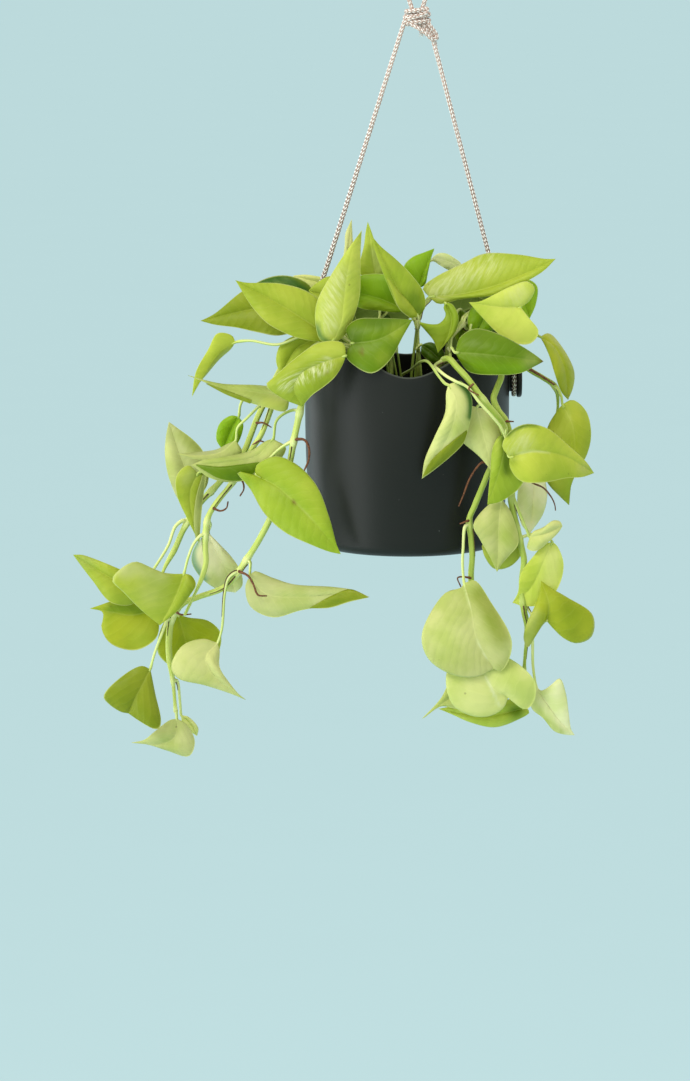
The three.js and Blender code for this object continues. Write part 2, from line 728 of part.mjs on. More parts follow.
    stem: [
      [62, 162, 44], [71, 171.5, 54], [82, 162, 62], [84, 149, 68], [79, 135, 72], [77, 128, 74],
      [81, 118, 78], [88, 108, 80], [92, 90, 79], [94, 60, 80], [93, 36, 84], [97, 15, 86], [102, -5, 88],
      [104, -15, 88], [102, -35, 88], [104, -60, 88], [107, -75, 84], [105, -98, 80], [104, -114, 76],
    ],
    leaves: [
      {
        name: "D8",
        petiole: [[91, 52, 82]],
        midrib: [[84, 39, 88], [82, 20, 93], [81, -2, 94], [80, -25.7, 90]],
        left: [[74, 35], [59, 16], [65, 3], [73, -11]],
        right: [[91.5, 29], [99, 0], [91, -11], [84, -19]],
      },
      {
        name: "D9",
        petiole: [[97, 12, 82]],
        midrib: [[97, 4, 80], [88, -5, 81], [66.5, -3, 81]],
        left: [[103, -6], [93, -20], [78, -23], [69, -12]],
        right: [[92, 12], [80, 10], [70, 4]],
        rows: 4,
      },
      {
        name: "D10",
        petiole: [[94, 40, 84], [101, 24, 88], [107, 10, 90]],
        midrib: [[109, 5, 91], [122, 8, 95], [138, 15, 92]],
        left: [[112, 10], [121, 14], [130, 20], [136, 19]],
        right: [[107, -5], [115, -7], [127, 2], [135, 10]],
        rows: 4,
      },
      {
        name: "E5",
        petiole: [[100, 4, 86], [115, 8, 82]],
        midrib: [[129, 1, 86], [121, -18, 91], [110, -40, 92], [93.7, -53, 86]],
        left: [[122, -1], [112, -12], [101, -27], [98.5, -44]],
        right: [[133, -2], [139, -18], [135, -38], [122, -54], [104, -56]],
      },
      {
        name: "E6",
        petiole: [[104, -52, 87], [113, -66, 89]],
        midrib: [[124, -69, 96], [126, -54, 103], [119, -33.4, 100]],
        left: [[130, -76], [140, -85], [151, -89], [164, -83], [165, -64], [142, -48], [130, -41]],
        right: [[118, -76], [112, -86], [107, -93], [103.5, -84], [107, -70], [113, -57], [118, -43]],
        lean: [-12, -2],
      },
      {
        name: "E4",
        petiole: [[110, -80, 82], [112, -110, 78]],
        midrib: [[115, -128, 78], [124, -142, 80], [136, -158, 78], [149, -170.5, 72]],
        left: [[122, -132], [135.5, -120], [141, -133], [143.5, -150], [146, -166]],
        right: [[110, -138], [111, -147], [120.5, -155], [131, -167], [141, -170]],
        lean: [8, -4],
      },
      {
        name: "E2",
        petiole: [[100, -120, 78]],
        midrib: [[90, -136, 88], [78, -130, 93], [68, -116, 93], [60, -98, 88]],
        left: [[86, -146], [74, -153.5], [58, -153.5], [42, -145], [35, -128], [38, -108]],
        right: [[93, -136], [98, -144], [106, -147.5], [113, -140], [114, -124], [100, -108], [80, -98]],
      },
      {
        name: "E3",
        petiole: [[108, -130, 68]],
        midrib: [[106, -146, 64], [80, -152, 70], [54, -152, 73], [28, -147, 76]],
        left: [[109, -150], [98, -157], [78, -163.5], [56, -159], [40, -152]],
        right: [[100, -138], [84, -140], [60, -143], [40, -145]],
        rows: 4,
      },
    ],
  },
  {
    name: "vine_right_back",
    root: [64, -10],
    radius: 2.4,
    stem: [
      [72, 166, 22], [82, 174, 34], [94, 166, 42], [109, 153.5, 46], [120, 147, 46], [131, 139, 44],
      [134, 122, 32], [130, 100, 26],
    ],
    leaves: [
      {
        name: "D5",
        petiole: [[132.5, 139, 46], [137, 130, 48]],
        midrib: [[138, 123, 49], [147, 104, 60], [149, 80, 62], [146, 55, 58], [144, 33.5, 48]],
        left: [[134, 118], [125, 103], [121, 78], [124, 55], [136, 41]],
        right: [[147, 127], [159, 117], [163.5, 97], [160, 79], [149, 59], [143.5, 43]],
        lean: [-16, -8],
      },
      {
        name: "D7",
        petiole: [[126, 86, 30], [118, 74, 42]],
        midrib: [[112, 62, 50], [112, 40, 56], [109, 8, 52]],
        left: [[120, 60], [124.5, 44], [121, 26]],
        right: [[102, 58], [98, 36], [102, 16]],
        rows: 4,
      },
    ],
  },
  {
    name: "vine_left_long",
    root: [-54, -30],
    radius: 3,
    stem: [
      [-62, 160, 44], [-71, 171.5, 55], [-82, 160, 64], [-90, 140, 65], [-93.6, 122, 64], [-97, 106, 63],
      [-100, 92, 61], [-104, 70, 50], [-111, 46, 42], [-122, 20, 36], [-132, 1, 31], [-141.5, -14, 27],
      [-149, -25, 24], [-161.5, -39, 20], [-185, -48, 16], [-199, -54, 13], [-208, -66, 11],
      [-210.8, -84, 9], [-210.6, -101, 8], [-207.5, -122, 8], [-205, -149, 8],
    ],
    leaves: [
      {
        name: "F4",
        petiole: [[-100, 118, 55], [-110, 114, 53], [-116, 107.5, 51]],
        midrib: [[-118.5, 92, 50], [-134, 77, 51], [-160, 72, 52], [-191, 69, 47]],
        left: [[-124, 91], [-138, 82], [-157, 77.5], [-180, 74]],
        right: [[-107, 85], [-114, 72], [-134, 61], [-153, 54], [-173, 57]],
        lean: [-7, 0],
      },
      {
        name: "F6",
        petiole: [[-101, 90, 60], [-112, 84, 58], [-126, 70, 58]],
        midrib: [[-134, 60, 60], [-115, 50, 67], [-95, 32, 76], [-80, 16, 81], [-58.4, -9.9, 84]],
        left: [[-134, 68], [-117, 77], [-98, 70], [-80, 51], [-68.5, 22], [-62, -2]],
        right: [[-142, 62], [-150.7, 63], [-139, 48], [-127, 27], [-109, 10], [-84, -2], [-68, -8]],
        lean: [-4, -2],
      },
      {
        name: "G3",
        petiole: [[-139, -17, 30], [-139, -24, 31]],
        midrib: [[-139, -30, 33], [-125, -45, 42], [-95, -48, 57], [-65, -46, 69], [-33, -48, 79]],
        left: [[-136, -25], [-118.5, -31], [-101, -36.5], [-65, -39], [-46, -42]],
        right: [[-143, -37], [-139, -56], [-119, -66], [-95, -60], [-74, -56], [-50, -50.5]],
      },
      {
        name: "G2",
        petiole: [[-152, -26, 26], [-158, -31, 26], [-161.5, -45, 24], [-164, -76, 20]],
        midrib: [[-168, -89, 20], [-178, -102, 27], [-170, -118, 28], [-143, -139, 20]],
        left: [[-180, -85], [-199, -91], [-209, -110], [-203, -120], [-180, -126], [-158, -133]],
        right: [[-166, -95], [-166, -110], [-158, -123], [-149, -134]],
      },
      {
        name: "G9",
        petiole: [[-205, -60, 7]],
        midrib: [[-203, -63, 2], [-198, -80, -4], [-192, -104, -10], [-188, -122, -14]],
        left: [[-212, -66], [-220, -82], [-220.5, -98], [-206, -112]],
        right: [[-194, -66], [-176, -69], [-165, -80], [-168, -100], [-180, -115]],
      },
      {
        name: "G10",
        petiole: [[-212, -68, 15], [-217, -80, 18], [-224, -99, 20]],
        midrib: [[-227.5, -112, 20], [-234.6, -126, 26], [-241, -138, 28], [-247, -151, 24]],
        left: [[-235, -109], [-251, -117], [-269, -136], [-264, -143], [-253, -150]],
        right: [[-226, -117], [-224, -133], [-217, -159], [-226, -166], [-239, -158]],
      },
      {
        name: "G11",
        petiole: [[-204.6, -150, 8]],
        midrib: [[-204, -156, 8], [-206, -172, 14], [-218, -178, 14], [-244, -177, 6]],
        left: [[-210, -157], [-224, -167.5], [-233, -174.5]],
        right: [[-196, -160], [-188, -176], [-193, -189], [-213, -184], [-232, -178]],
        rows: 4,
      },
      {
        name: "G12",
        petiole: [[-204, -122, 5], [-201, -143, 3]],
        midrib: [[-200, -153, 2], [-192, -160, 0], [-186, -171, -2]],
        left: [[-194, -154], [-185, -164]],
        right: [[-199, -161], [-191, -168]],
        rows: 4,
      },
    ],
  },
  {
    name: "vine_left_outer",
    root: [-66, -4],
    radius: 2.6,
    stem: [
      [-73, 160, 18], [-82, 174, 27], [-95, 166, 33], [-110, 146, 40], [-120, 120, 42], [-125, 106, 42],
      [-129.5, 95.5, 40], [-137, 84, 35], [-146, 68, 31], [-155, 53, 30], [-165.5, 40, 30],
      [-172, 31, 30], [-176.5, 22, 30], [-178.5, 8, 30], [-178.6, -7, 29], [-178, -16, 28],
      [-182, -31.5, 27], [-188.5, -46, 26], [-194, -58, 24],
    ],
    leaves: [
      {
        name: "F3",
        petiole: [[-122, 132, 43], [-130.6, 122, 43], [-141.5, 111, 42], [-150, 102, 40]],
        midrib: [[-151.5, 91, 36], [-165, 80, 33], [-185, 77, 30], [-204, 79, 25]],
        left: [[-159, 88], [-169, 83], [-187, 80.5]],
        right: [[-146, 80], [-159, 75], [-182, 73.5]],
        lean: [-24, 5],
      },
      {
        name: "F7",
        petiole: [[-158, 58, 28], [-172, 64, 27]],
        midrib: [[-185, 62, 26], [-192, 46, 30], [-190, 22, 30], [-184, 0, 26]],
        left: [[-194, 69], [-204, 60], [-204, 43], [-195, 22]],
        right: [[-182, 65], [-179, 56], [-181, 38], [-183, 18]],
        lean: [2, -7],
      },
      {
        name: "G4",
        petiole: [[-176, 20, 22], [-174, 16, 14]],
        midrib: [[-176, 9, 9], [-168, -10, 8], [-159, -26, 6], [-152, -44, 2]],
        left: [[-186, 0], [-191, -15], [-184, -29], [-168, -41]],
        right: [[-168, 1], [-155, -13], [-147, -26], [-146, -38]],
      },
      {
        name: "G5",
        petiole: [[-182, 7, 32], [-188.5, 0, 34], [-193.6, -12, 35]],
        midrib: [[-197.5, -27, 35], [-212, -38, 41], [-228, -50, 42], [-241, -54, 36]],
        left: [[-205, -27.5], [-223, -24.5], [-240, -16.5], [-254, -23], [-261.5, -33], [-252, -43]],
        right: [[-191, -29], [-187, -37], [-197, -52], [-210, -68], [-218, -73], [-230, -64]],
      },
    ],
  },
  {
    name: "vine_left_back",
    root: [-60, 22],
    radius: 3,
    stem: [
      [-72, 170, -28], [-83, 181, -29], [-98, 172, -24], [-112, 154, -10], [-120, 138, 2],
      [-127, 123, 10], [-133, 110, 13], [-139, 94, 14], [-145, 80, 14], [-165, 55, 12], [-186, 32, 9],
      [-198, 12, 7], [-206, -6, 6], [-216, -25, 3], [-220, -46, 1],
    ],
    leaves: [
      {
        name: "F2",
        petiole: [[-122, 136, 4], [-136, 137, 8], [-147, 124, 9]],
        midrib: [[-149, 112, 7], [-156, 100, 5], [-163, 82, 1]],
        left: [[-156, 113], [-166, 106], [-169, 92]],
        right: [[-145, 105], [-149, 90], [-156, 82]],
        rows: 4,
      },
      {
        name: "F5",
        petiole: [[-172, 44, 12]],
        midrib: [[-183, 41, 6], [-198, 70, 4], [-211, 107.5, -4]],
        left: [[-198, 34], [-210, 55], [-214.5, 78], [-213.5, 95]],
        right: [[-176, 55], [-180, 80], [-190, 92], [-202, 101]],
        rows: 4,
      },
      {
        name: "G6",
        petiole: [[-198, 20, 10], [-205, 15, 12], [-211.5, -2, 16], [-223, -21, 18], [-232, -34, 16]],
        midrib: [[-238, -42, 16], [-262, -31, 18], [-296, -10.4, 8]],
        left: [[-240, -30], [-255, -23], [-277, -14], [-288, -10.5]],
        right: [[-243, -54], [-262, -53], [-279, -33], [-289, -20]],
        rows: 4,
      },
      {
        name: "G8",
        petiole: [[-221, -54, 3]],
        midrib: [[-225, -60, 6], [-245, -64, 10], [-262, -61, 9], [-281, -58, 3]],
        left: [[-229, -52], [-245, -49.5], [-260, -51], [-272, -55]],
        right: [[-220, -70], [-222, -84], [-240, -95], [-263, -89], [-271, -74], [-267, -62]],
        belly: 2,
      },
    ],
  },
];

// Stems at the back, which the front hides: their leaves are hearts of the same kind laid out by rule.
function heartLeaf(name, petiole, base, tip, width, lean, droop = 6) {
  const [dx, dy] = [tip[0] - base[0], tip[1] - base[1]];
  const length = Math.hypot(dx, dy);
  const place = (along, aside) => [
    base[0] + dx * along - (dy / length) * aside * width,
    base[1] + dy * along + (dx / length) * aside * width,
  ];
  const outline = [[-0.1, 0.22], [-0.02, 0.42], [0.25, 0.5], [0.55, 0.36], [0.82, 0.13]];
  return {
    name,
    petiole,
    midrib: [base, [...place(0.45, 0), (base[2] + tip[2]) / 2 - droop], tip],
    left: outline.map(([along, aside]) => place(along, aside)),
    right: outline.map(([along, aside]) => place(along, -aside)),
    lean,
    belly: -3,
    rows: 4,
  };
}

VINES.push(
  {
    name: "crown_back_left",
    root: [-28, 30],
    radius: 2.6,
    stem: [[-30, 160, -34], [-34, 190, -36]],
    leaves: [
      heartLeaf("H1", [[-40, 200, -44]], [-52, 212, -52], [-96, 190, -76], 52, [10, -12]),
      heartLeaf("H2", [[-36, 200, -46]], [-36, 213, -60], [-20, 164, -110], 48, [4, -6]),
      heartLeaf("H3", [[-40, 188, -52], [-50, 196, -68]], [-57, 196, -84], [-72, 134, -118], 56, [3, -8]),
      heartLeaf("H4", [[-28, 186, -30]], [-24, 206, -28], [-52, 226, -34], 40, [4, -10]),
      heartLeaf("H13", [[-28, 196, -34]], [-18, 204, -34], [-4, 240, -42], 44, [-6, 6]),
      heartLeaf("H15", [[-38, 184, -38]], [-50, 186, -36], [-88, 200, -44], 44, [8, -8]),
      heartLeaf("H18", [[-30, 186, -26]], [-28, 190, -16], [-18, 168, 4], 30, [4, -4]),
    ],
  },
  {
    name: "crown_back_right",
    root: [34, 34],
    radius: 2.6,
    stem: [[34, 160, -36], [38, 190, -38]],
    leaves: [
      heartLeaf("H5", [[44, 200, -44]], [54, 211, -50], [99, 193, -70], 52, [-12, 10]),
      heartLeaf("H6", [[44, 198, -48]], [52, 211, -62], [38, 164, -110], 44, [-6, 4]),
      heartLeaf("H7", [[44, 190, -52], [52, 196, -68]], [60, 196, -82], [77, 132, -114], 56, [-8, 3]),
      heartLeaf("H8", [[38, 186, -32]], [40, 202, -26], [74, 214, -30], 40, [-10, 4]),
      heartLeaf("H14", [[36, 204, -36]], [33, 217, -35], [28, 246, -40], 34, [6, -6]),
      heartLeaf("H17", [[36, 184, -28]], [40, 190, -16], [62, 184, 4], 36, [-4, 4]),
      heartLeaf("H20", [[54, 194, -42]], [74, 200, -34], [112, 190, -44], 38, [8, -12]),
    ],
  },
  {
    name: "vine_back",
    root: [-14, 56],
    radius: 2.6,
    stem: [
      [-14, 164, -66], [-12, 182, -82], [-10, 174, -98], [-12, 140, -104], [-20, 110, -104], [-18, 84, -103],
    ],
    leaves: [
      heartLeaf("H9", [[-6, 160, -108]], [10, 150, -114], [30, 96, -118], 58, [-6, -6]),
      heartLeaf("H10", [[-24, 132, -110]], [-42, 124, -116], [-64, 74, -118], 58, [-6, -6]),
      heartLeaf("H11", [[-12, 104, -109]], [0, 92, -114], [10, 40, -114], 54, [-4, -4]),
      heartLeaf("H12", [[-20, 80, -108]], [-28, 70, -112], [-42, 28, -110], 46, [-4, -4]),
    ],
  },
);

// Nodes

function addNode(group, name, solid, colour, roughness) {
  const geometry = geometryFromSolid(solid.translate(ORIGIN.clone().negate().toArray()));
  const material = new THREE.MeshStandardMaterial({ color: colour, roughness, metalness: 0 });
  const mesh = new THREE.Mesh(geometry, material);
  mesh.name = name;
  group.add(mesh);
}

const plant = new THREE.Group();
const pot = wasm.Manifold.union([makePot(), makeKnob(), makeKnob().mirror([1, 0, 0])]);
addNode(plant, "pot", pot, 0x3a3f3c, 0.55);
addNode(plant, "soil", makeSoil(VINES), 0x3b2a1e, 0.95);
addNode(plant, "rope_left", makeRopeLeg(-1), 0xddd3c7, 0.9);
addNode(plant, "rope_right", makeRopeLeg(1), 0xddd3c7, 0.9);
addNode(plant, "rope_loop", makeRopeLoop(), 0xddd3c7, 0.9);
addNode(plant, "rope_knot", knotBody(0), 0xddd3c7, 0.9);
for (const vine of VINES) addNode(plant, vine.name, makeVine(vine), 0xa9c63b, 0.45);

export default plant;
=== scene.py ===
# %% [markdown]
# # A golden pothos in a hanging pot
# The plant hangs in a dark pot from a braided rope. Its leaves are thin curved sheets on long stalks, and
# the stalks grow from stems that stand in the soil, climb over the rim and trail below it.
# A solid model of the same plant is loaded first. It gives the places and sizes, and every finer piece
# that is made here takes the place of one of its solids.

# %% Load the solid model
import math
import random

import bpy
import numpy as np
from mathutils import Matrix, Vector


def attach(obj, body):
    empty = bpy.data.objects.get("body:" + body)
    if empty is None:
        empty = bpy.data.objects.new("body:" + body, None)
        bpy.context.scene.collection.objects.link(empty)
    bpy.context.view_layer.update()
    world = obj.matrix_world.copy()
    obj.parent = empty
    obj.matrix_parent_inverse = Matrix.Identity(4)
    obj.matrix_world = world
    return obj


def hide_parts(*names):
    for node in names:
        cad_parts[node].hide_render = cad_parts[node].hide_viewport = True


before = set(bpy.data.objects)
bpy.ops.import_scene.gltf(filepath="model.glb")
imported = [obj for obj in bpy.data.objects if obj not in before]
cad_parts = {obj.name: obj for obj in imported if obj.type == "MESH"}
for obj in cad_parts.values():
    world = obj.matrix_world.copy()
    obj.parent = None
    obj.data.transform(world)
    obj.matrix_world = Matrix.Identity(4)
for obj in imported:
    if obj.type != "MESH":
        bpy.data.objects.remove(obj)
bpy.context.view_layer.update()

# %% [markdown]
# ## Where things are
# Sizes are in millimetres, with the pot's foot at height 0, because a maker would measure the pot that
# way. The scene itself is in metres with its origin at the top of the rope's loop, so one function moves
# a point from the first frame to the second.
#
# The plant was measured from one standpoint, a little above it and four metres off. A measured point is
# its distance across, its distance up and how far it is in front of the pot's axis. The camera stands at
# that same place, so the leaves line up with what was measured.

# %% Measured points
LOOP_TOP = (8.0, 0.0, 519.8)
VIEW_TILT = math.radians(9)
VIEW_DISTANCE = 4000.0
VIEW_ACROSS = -54.8
VIEW_UP = 2.2


def in_scene(points):
    """Points in millimetres from the pot's foot, as points of the scene in metres."""
    return (np.asarray(points, float) - LOOP_TOP) / 1000


def standpoint():
    """Where the plant was measured from, in millimetres from the pot's foot."""
    cos, sin = math.cos(VIEW_TILT), math.sin(VIEW_TILT)
    return np.array([VIEW_ACROSS, VIEW_UP * sin - VIEW_DISTANCE * cos, VIEW_UP * cos + VIEW_DISTANCE * sin])


def seen(measured):
    """Points across, up and in front, as points in millimetres from the pot's foot."""
    across, up, front = np.asarray(measured, float).T
    cos, sin = math.cos(VIEW_TILT), math.sin(VIEW_TILT)
    eye = standpoint()
    step_y = VIEW_DISTANCE * cos + (up - VIEW_UP) * sin
    step_z = (up - VIEW_UP) * cos - VIEW_DISTANCE * sin
    share = (-front - eye[1]) / step_y
    return np.stack([VIEW_ACROSS + share * (across - VIEW_ACROSS), -front, eye[2] + share * step_z], axis=1)


print("standpoint in millimetres from the pot's foot:", standpoint().round(1))

# %% [markdown]
# ## The camera
# A camera could be moved until the view looks right. Here it stands where the plant was measured from. At
# four metres, a picture that takes in 958 mm of height needs a lens of 150 mm on a sensor 36 mm high.

# %% Camera
SENSOR_HEIGHT = 36.0
LENS = 150.2
FARTHEST_SEEN = 300


def add_camera():
    data = bpy.data.cameras.new("camera")
    data.sensor_fit = "VERTICAL"
    data.sensor_height = SENSOR_HEIGHT
    data.lens = LENS
    data.clip_end = FARTHEST_SEEN
    camera = bpy.data.objects.new("camera", data)
    camera.location = in_scene(standpoint())
    camera.rotation_euler = (math.pi / 2 - VIEW_TILT, 0, 0)
    bpy.context.scene.collection.objects.link(camera)
    bpy.context.scene.camera = camera
    return camera


camera = add_camera()
print("camera at", tuple(round(value, 3) for value in camera.location))

# %% [markdown]
# ## Helpers for shapes
# A leaf, a stem and a strand of rope are all grids of points, so one small class collects such grids and
# turns them into a mesh. Each could be pushed into shape singly, but the plant has 75 leaves. A point also
# keeps what the materials read: its own tint, where it lies on the leaf or along the stem, and how strongly
# it is marbled. With that kept on the points, one material serves every leaf.

# %% Curves
def through(points, steps=16):
    """A smooth curve through the points (centripetal Catmull-Rom), as many short steps."""
    p = np.asarray(points, float)
    p = np.vstack([2 * p[0] - p[1], p, 2 * p[-1] - p[-2]])
    out = []
    t = np.linspace(0, 1, steps, endpoint=False)[:, None]
    for k in range(1, len(p) - 2):
        a, b, c, d = p[k - 1:k + 3]
        pairs = ((a, b), (b, c), (c, d))
        before, here, after = (max(np.sum((q - r) ** 2), 1e-12) ** 0.25 for q, r in pairs)
        start = ((b - a) / before - (c - a) / (before + here) + (c - b) / here) * here
        end = ((c - b) / here - (d - b) / (here + after) + (d - c) / after) * here
        squared = 3 * (c - b) - 2 * start - end
        cubed = 2 * (b - c) + start + end
        out.append(b + t * start + t ** 2 * squared + t ** 3 * cubed)
    return np.vstack(out + [p[-2:-1]])


def along(curve, shares):
    """Points of a curve at shares of its length."""
    steps = np.linalg.norm(np.diff(curve, axis=0), axis=1)
    reach = np.concatenate([[0], np.cumsum(steps)])
    want = np.asarray(shares, float) * reach[-1]
    return np.stack([np.interp(want, reach, curve[:, k]) for k in range(curve.shape[1])], axis=1)


def length_of(curve):
    return float(np.linalg.norm(np.diff(curve, axis=0), axis=1).sum())


def evenly(points, spacing):
    """A smooth curve through the points with steps of about that spacing."""
    curve = through(points)
    count = max(2, int(math.ceil(length_of(curve) / spacing)))
    return along(curve, np.linspace(0, 1, count + 1))


def frames_along(path):
    """Two directions across a path at each of its points, carried along without twisting."""
    ahead = np.gradient(path, axis=0)
    ahead /= np.linalg.norm(ahead, axis=1)[:, None] + 1e-12
    side = np.cross(ahead[0], [0.0, -1.0, 0.1])
    if np.linalg.norm(side) < 0.1:
        side = np.cross(ahead[0], [1.0, 0.0, 0.0])
    sides = []
    for direction in ahead:
        side = side - direction * side.dot(direction)
        side = side / np.linalg.norm(side)
        sides.append(side)
    sides = np.array(sides)
    return sides, np.cross(ahead, sides)


print("a smooth curve through three points has", len(through([(0, 0), (1, 1), (2, 0)])), "points")


# %% Meshes
class Shape:
    """Points and faces that become one mesh, in millimetres from the pot's foot."""

    def __init__(self):
        self.points, self.tints, self.places, self.marbling = [], [], [], []
        self.faces, self.slots = [], []
        self.count = 0

    def grid(self, points, tint, place, slot, wrap=False, marble=0.0):
        """A grid of points, rows by columns. wrap joins its last column to its first."""
        rows, columns = points.shape[:2]
        index = self.count + np.arange(rows * columns).reshape(rows, columns)
        a, b = index[:-1], index[1:]
        if wrap:
            quads = np.stack([a, np.roll(a, -1, 1), np.roll(b, -1, 1), b], axis=-1).reshape(-1, 4)
        else:
            quads = np.stack([a[:, :-1], a[:, 1:], b[:, 1:], b[:, :-1]], axis=-1).reshape(-1, 4)
        self._keep(points.reshape(-1, 3), tint, place, quads.tolist(), slot, marble)
        return index

    def strip(self, ring_a, ring_b, slot):
        """Faces between two rows of points that are there already."""
        for k in range(len(ring_a) - 1):
            self.faces.append([int(ring_a[k]), int(ring_a[k + 1]), int(ring_b[k + 1]), int(ring_b[k])])
            self.slots.append(slot)

    def cap(self, ring, slot, turn=False):
        face = [int(k) for k in ring]
        self.faces.append(face[::-1] if turn else face)
        self.slots.append(slot)

    def _keep(self, points, tint, place, faces, slot, marble):
        self.points.append(points)
        self.marbling.append(np.broadcast_to(np.asarray(marble, float).ravel(), (len(points),)))
        self.tints.append(np.broadcast_to(np.asarray(tint, float).reshape(-1, 3), (len(points), 3)))
        self.places.append(np.asarray(place, float).reshape(-1, 3))
        self.faces += faces
        self.slots += [slot] * len(faces)
        self.count += len(points)

    def tube(self, path, radius, sides, tint, slot, ridges=0.0):
        """A round tube along a path. radius is one number, or one for each point of the path."""
        path = np.asarray(path, float)
        side, other = frames_along(path)
        angle = np.linspace(0, 2 * math.pi, sides, endpoint=False)
        radius = np.broadcast_to(np.asarray(radius, float), (len(path),))
        ring = side[:, None] * np.cos(angle)[None, :, None] + other[:, None] * np.sin(angle)[None, :, None]
        ring = ring * (1 + ridges * np.cos(4 * angle + 0.6))[None, :, None]
        points = path[:, None] + ring * radius[:, None, None]
        reach = np.concatenate([[0], np.cumsum(np.linalg.norm(np.diff(path, axis=0), axis=1))])
        place = np.stack(np.broadcast_arrays(
            np.cos(angle)[None, :], reach[:, None] / 10, np.sin(angle)[None, :]), axis=-1)
        tint = np.asarray(tint, float)
        if tint.ndim == 2:
            tint = np.repeat(tint, sides, axis=0)
        index = self.grid(points, tint, place, slot, wrap=True)
        self.cap(index[0], slot, turn=True)
        self.cap(index[-1], slot)
        return index

    def make(self, name, materials):
        mesh = bpy.data.meshes.new(name)
        points = in_scene(np.vstack(self.points))
        mesh.from_pydata(points.tolist(), [], self.faces)
        tint = mesh.color_attributes.new("Tint", "FLOAT_COLOR", "POINT")
        colours = np.hstack([np.vstack(self.tints), np.ones((self.count, 1))])
        tint.data.foreach_set("color", colours.astype(np.float32).ravel())
        place = mesh.attributes.new("Place", "FLOAT_VECTOR", "POINT")
        place.data.foreach_set("vector", np.vstack(self.places).astype(np.float32).ravel())
        marble = mesh.attributes.new("Marble", "FLOAT", "POINT")
        marble.data.foreach_set("value", np.concatenate(self.marbling).astype(np.float32))
        for material in materials:
            mesh.materials.append(material)
        mesh.polygons.foreach_set("material_index", np.array(self.slots, dtype=np.int32))
        mesh.polygons.foreach_set("use_smooth", np.ones(len(self.faces), dtype=bool))
        mesh.update()
        piece = bpy.data.objects.new(name, mesh)
        bpy.context.scene.collection.objects.link(piece)
        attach(piece, "root")
        return piece


def tell(piece):
    mesh = piece.data
    print(piece.name, "points", len(mesh.vertices), "faces", len(mesh.polygons),
          "size in mm", [round(1000 * value) for value in piece.dimensions])


trial = Shape()
trial.tube([(0, 0, 0), (0, 0, 10)], 1.0, 8, (1, 1, 1), 0)
print("a short tube of eight sides has", trial.count, "points and", len(trial.faces), "faces")

# %% [markdown]
# ## Helpers for materials
# A finish is a small graph of nodes. These helpers add a node, set its values and link it, so that each
# finish below reads as a short recipe. Colours are given the way a paint chart gives them, from 0 to 255,
# and turned into the linear values that the shader needs.

# %% Colours and nodes
def colour(red, green, blue):
    parts = [part / 255 for part in (red, green, blue)]
    return tuple(((part + 0.055) / 1.055) ** 2.4 if part > 0.04 else part / 12.92 for part in parts)


def new_material(name):
    material = bpy.data.materials.new(name)
    material.use_nodes = True
    material.node_tree.nodes.clear()
    return material


def node(material, kind, inputs=None, **settings):
    made = material.node_tree.nodes.new(kind)
    for key, value in settings.items():
        setattr(made, key, value)
    for key, value in (inputs or {}).items():
        socket = made.inputs[key]
        if isinstance(value, bpy.types.NodeSocket):
            material.node_tree.links.new(value, socket)
        else:
            socket.default_value = value
    return made


def maths(material, operation, first, second=0.0):
    made = node(material, "ShaderNodeMath", {0: first, 1: second}, operation=operation)
    return made.outputs[0]


def times(material, first, second):
    return maths(material, "MULTIPLY", first, second)


def plus(material, first, second):
    return maths(material, "ADD", first, second)


def smooth_range(material, value, low, high):
    """Rises softly from 0 to 1 while the value goes from low to high, which may be the smaller of the two."""
    made = node(material, "ShaderNodeMapRange", {0: value, 1: low, 2: high},
                interpolation_type="SMOOTHSTEP")
    return made.outputs[0]


def mixed(material, share, first, second, blend="MIX"):
    made = node(material, "ShaderNodeMix", data_type="RGBA", blend_type=blend)
    sockets = [s for s in made.inputs if s.type == "RGBA"]
    for socket, value in ((made.inputs[0], share), (sockets[0], first), (sockets[1], second)):
        if isinstance(value, bpy.types.NodeSocket):
            material.node_tree.links.new(value, socket)
        else:
            socket.default_value = value if isinstance(value, float) else (*value, 1.0)
    return [s for s in made.outputs if s.type == "RGBA"][0]


def toned(material, base, tone):
    """A base colour multiplied by a tone."""
    return mixed(material, 1.0, base, tone, "MULTIPLY")


def noise(material, vector, scale, detail=2.0, roughness=0.5):
    made = node(material, "ShaderNodeTexNoise", {
        "Vector": vector, "Scale": scale, "Detail": detail, "Roughness": roughness,
    })
    return made.outputs[0]


def bumped(material, height, strength, distance):
    return node(material, "ShaderNodeBump", {
        "Height": height, "Strength": strength, "Distance": distance,
    }).outputs[0]


def finish_with(material, shader):
    output = node(material, "ShaderNodeOutputMaterial")
    material.node_tree.links.new(shader, output.inputs["Surface"])
    return material


def painted(material):
    """The tint and the place that each point of a Shape keeps, and the object's own coordinates."""
    tint = node(material, "ShaderNodeAttribute", attribute_name="Tint").outputs["Color"]
    place = node(material, "ShaderNodeAttribute", attribute_name="Place").outputs["Vector"]
    parts = node(material, "ShaderNodeSeparateXYZ", {"Vector": place}).outputs
    own = node(material, "ShaderNodeTexCoord").outputs["Object"]
    return tint, parts, place, own


print("a middle grey of 128 is", round(colour(128, 128, 128)[0], 3), "in linear light")

# %% [markdown]
# ## Leaf finishes
# A pothos leaf is satin on top and chalky below. It has a pale thin edge, a midrib, and faint veins that
# run forward to the edge. A photograph wrapped on the leaf would be quick, but a graph of nodes stays sharp
# from any distance and needs no picture. Light also passes through a leaf, so some of it is mixed in from
# a translucent shader.

# %% The pattern of the veins
VEINS_PER_CENTIMETRE = 1.1
VEIN_SLANT = 0.8


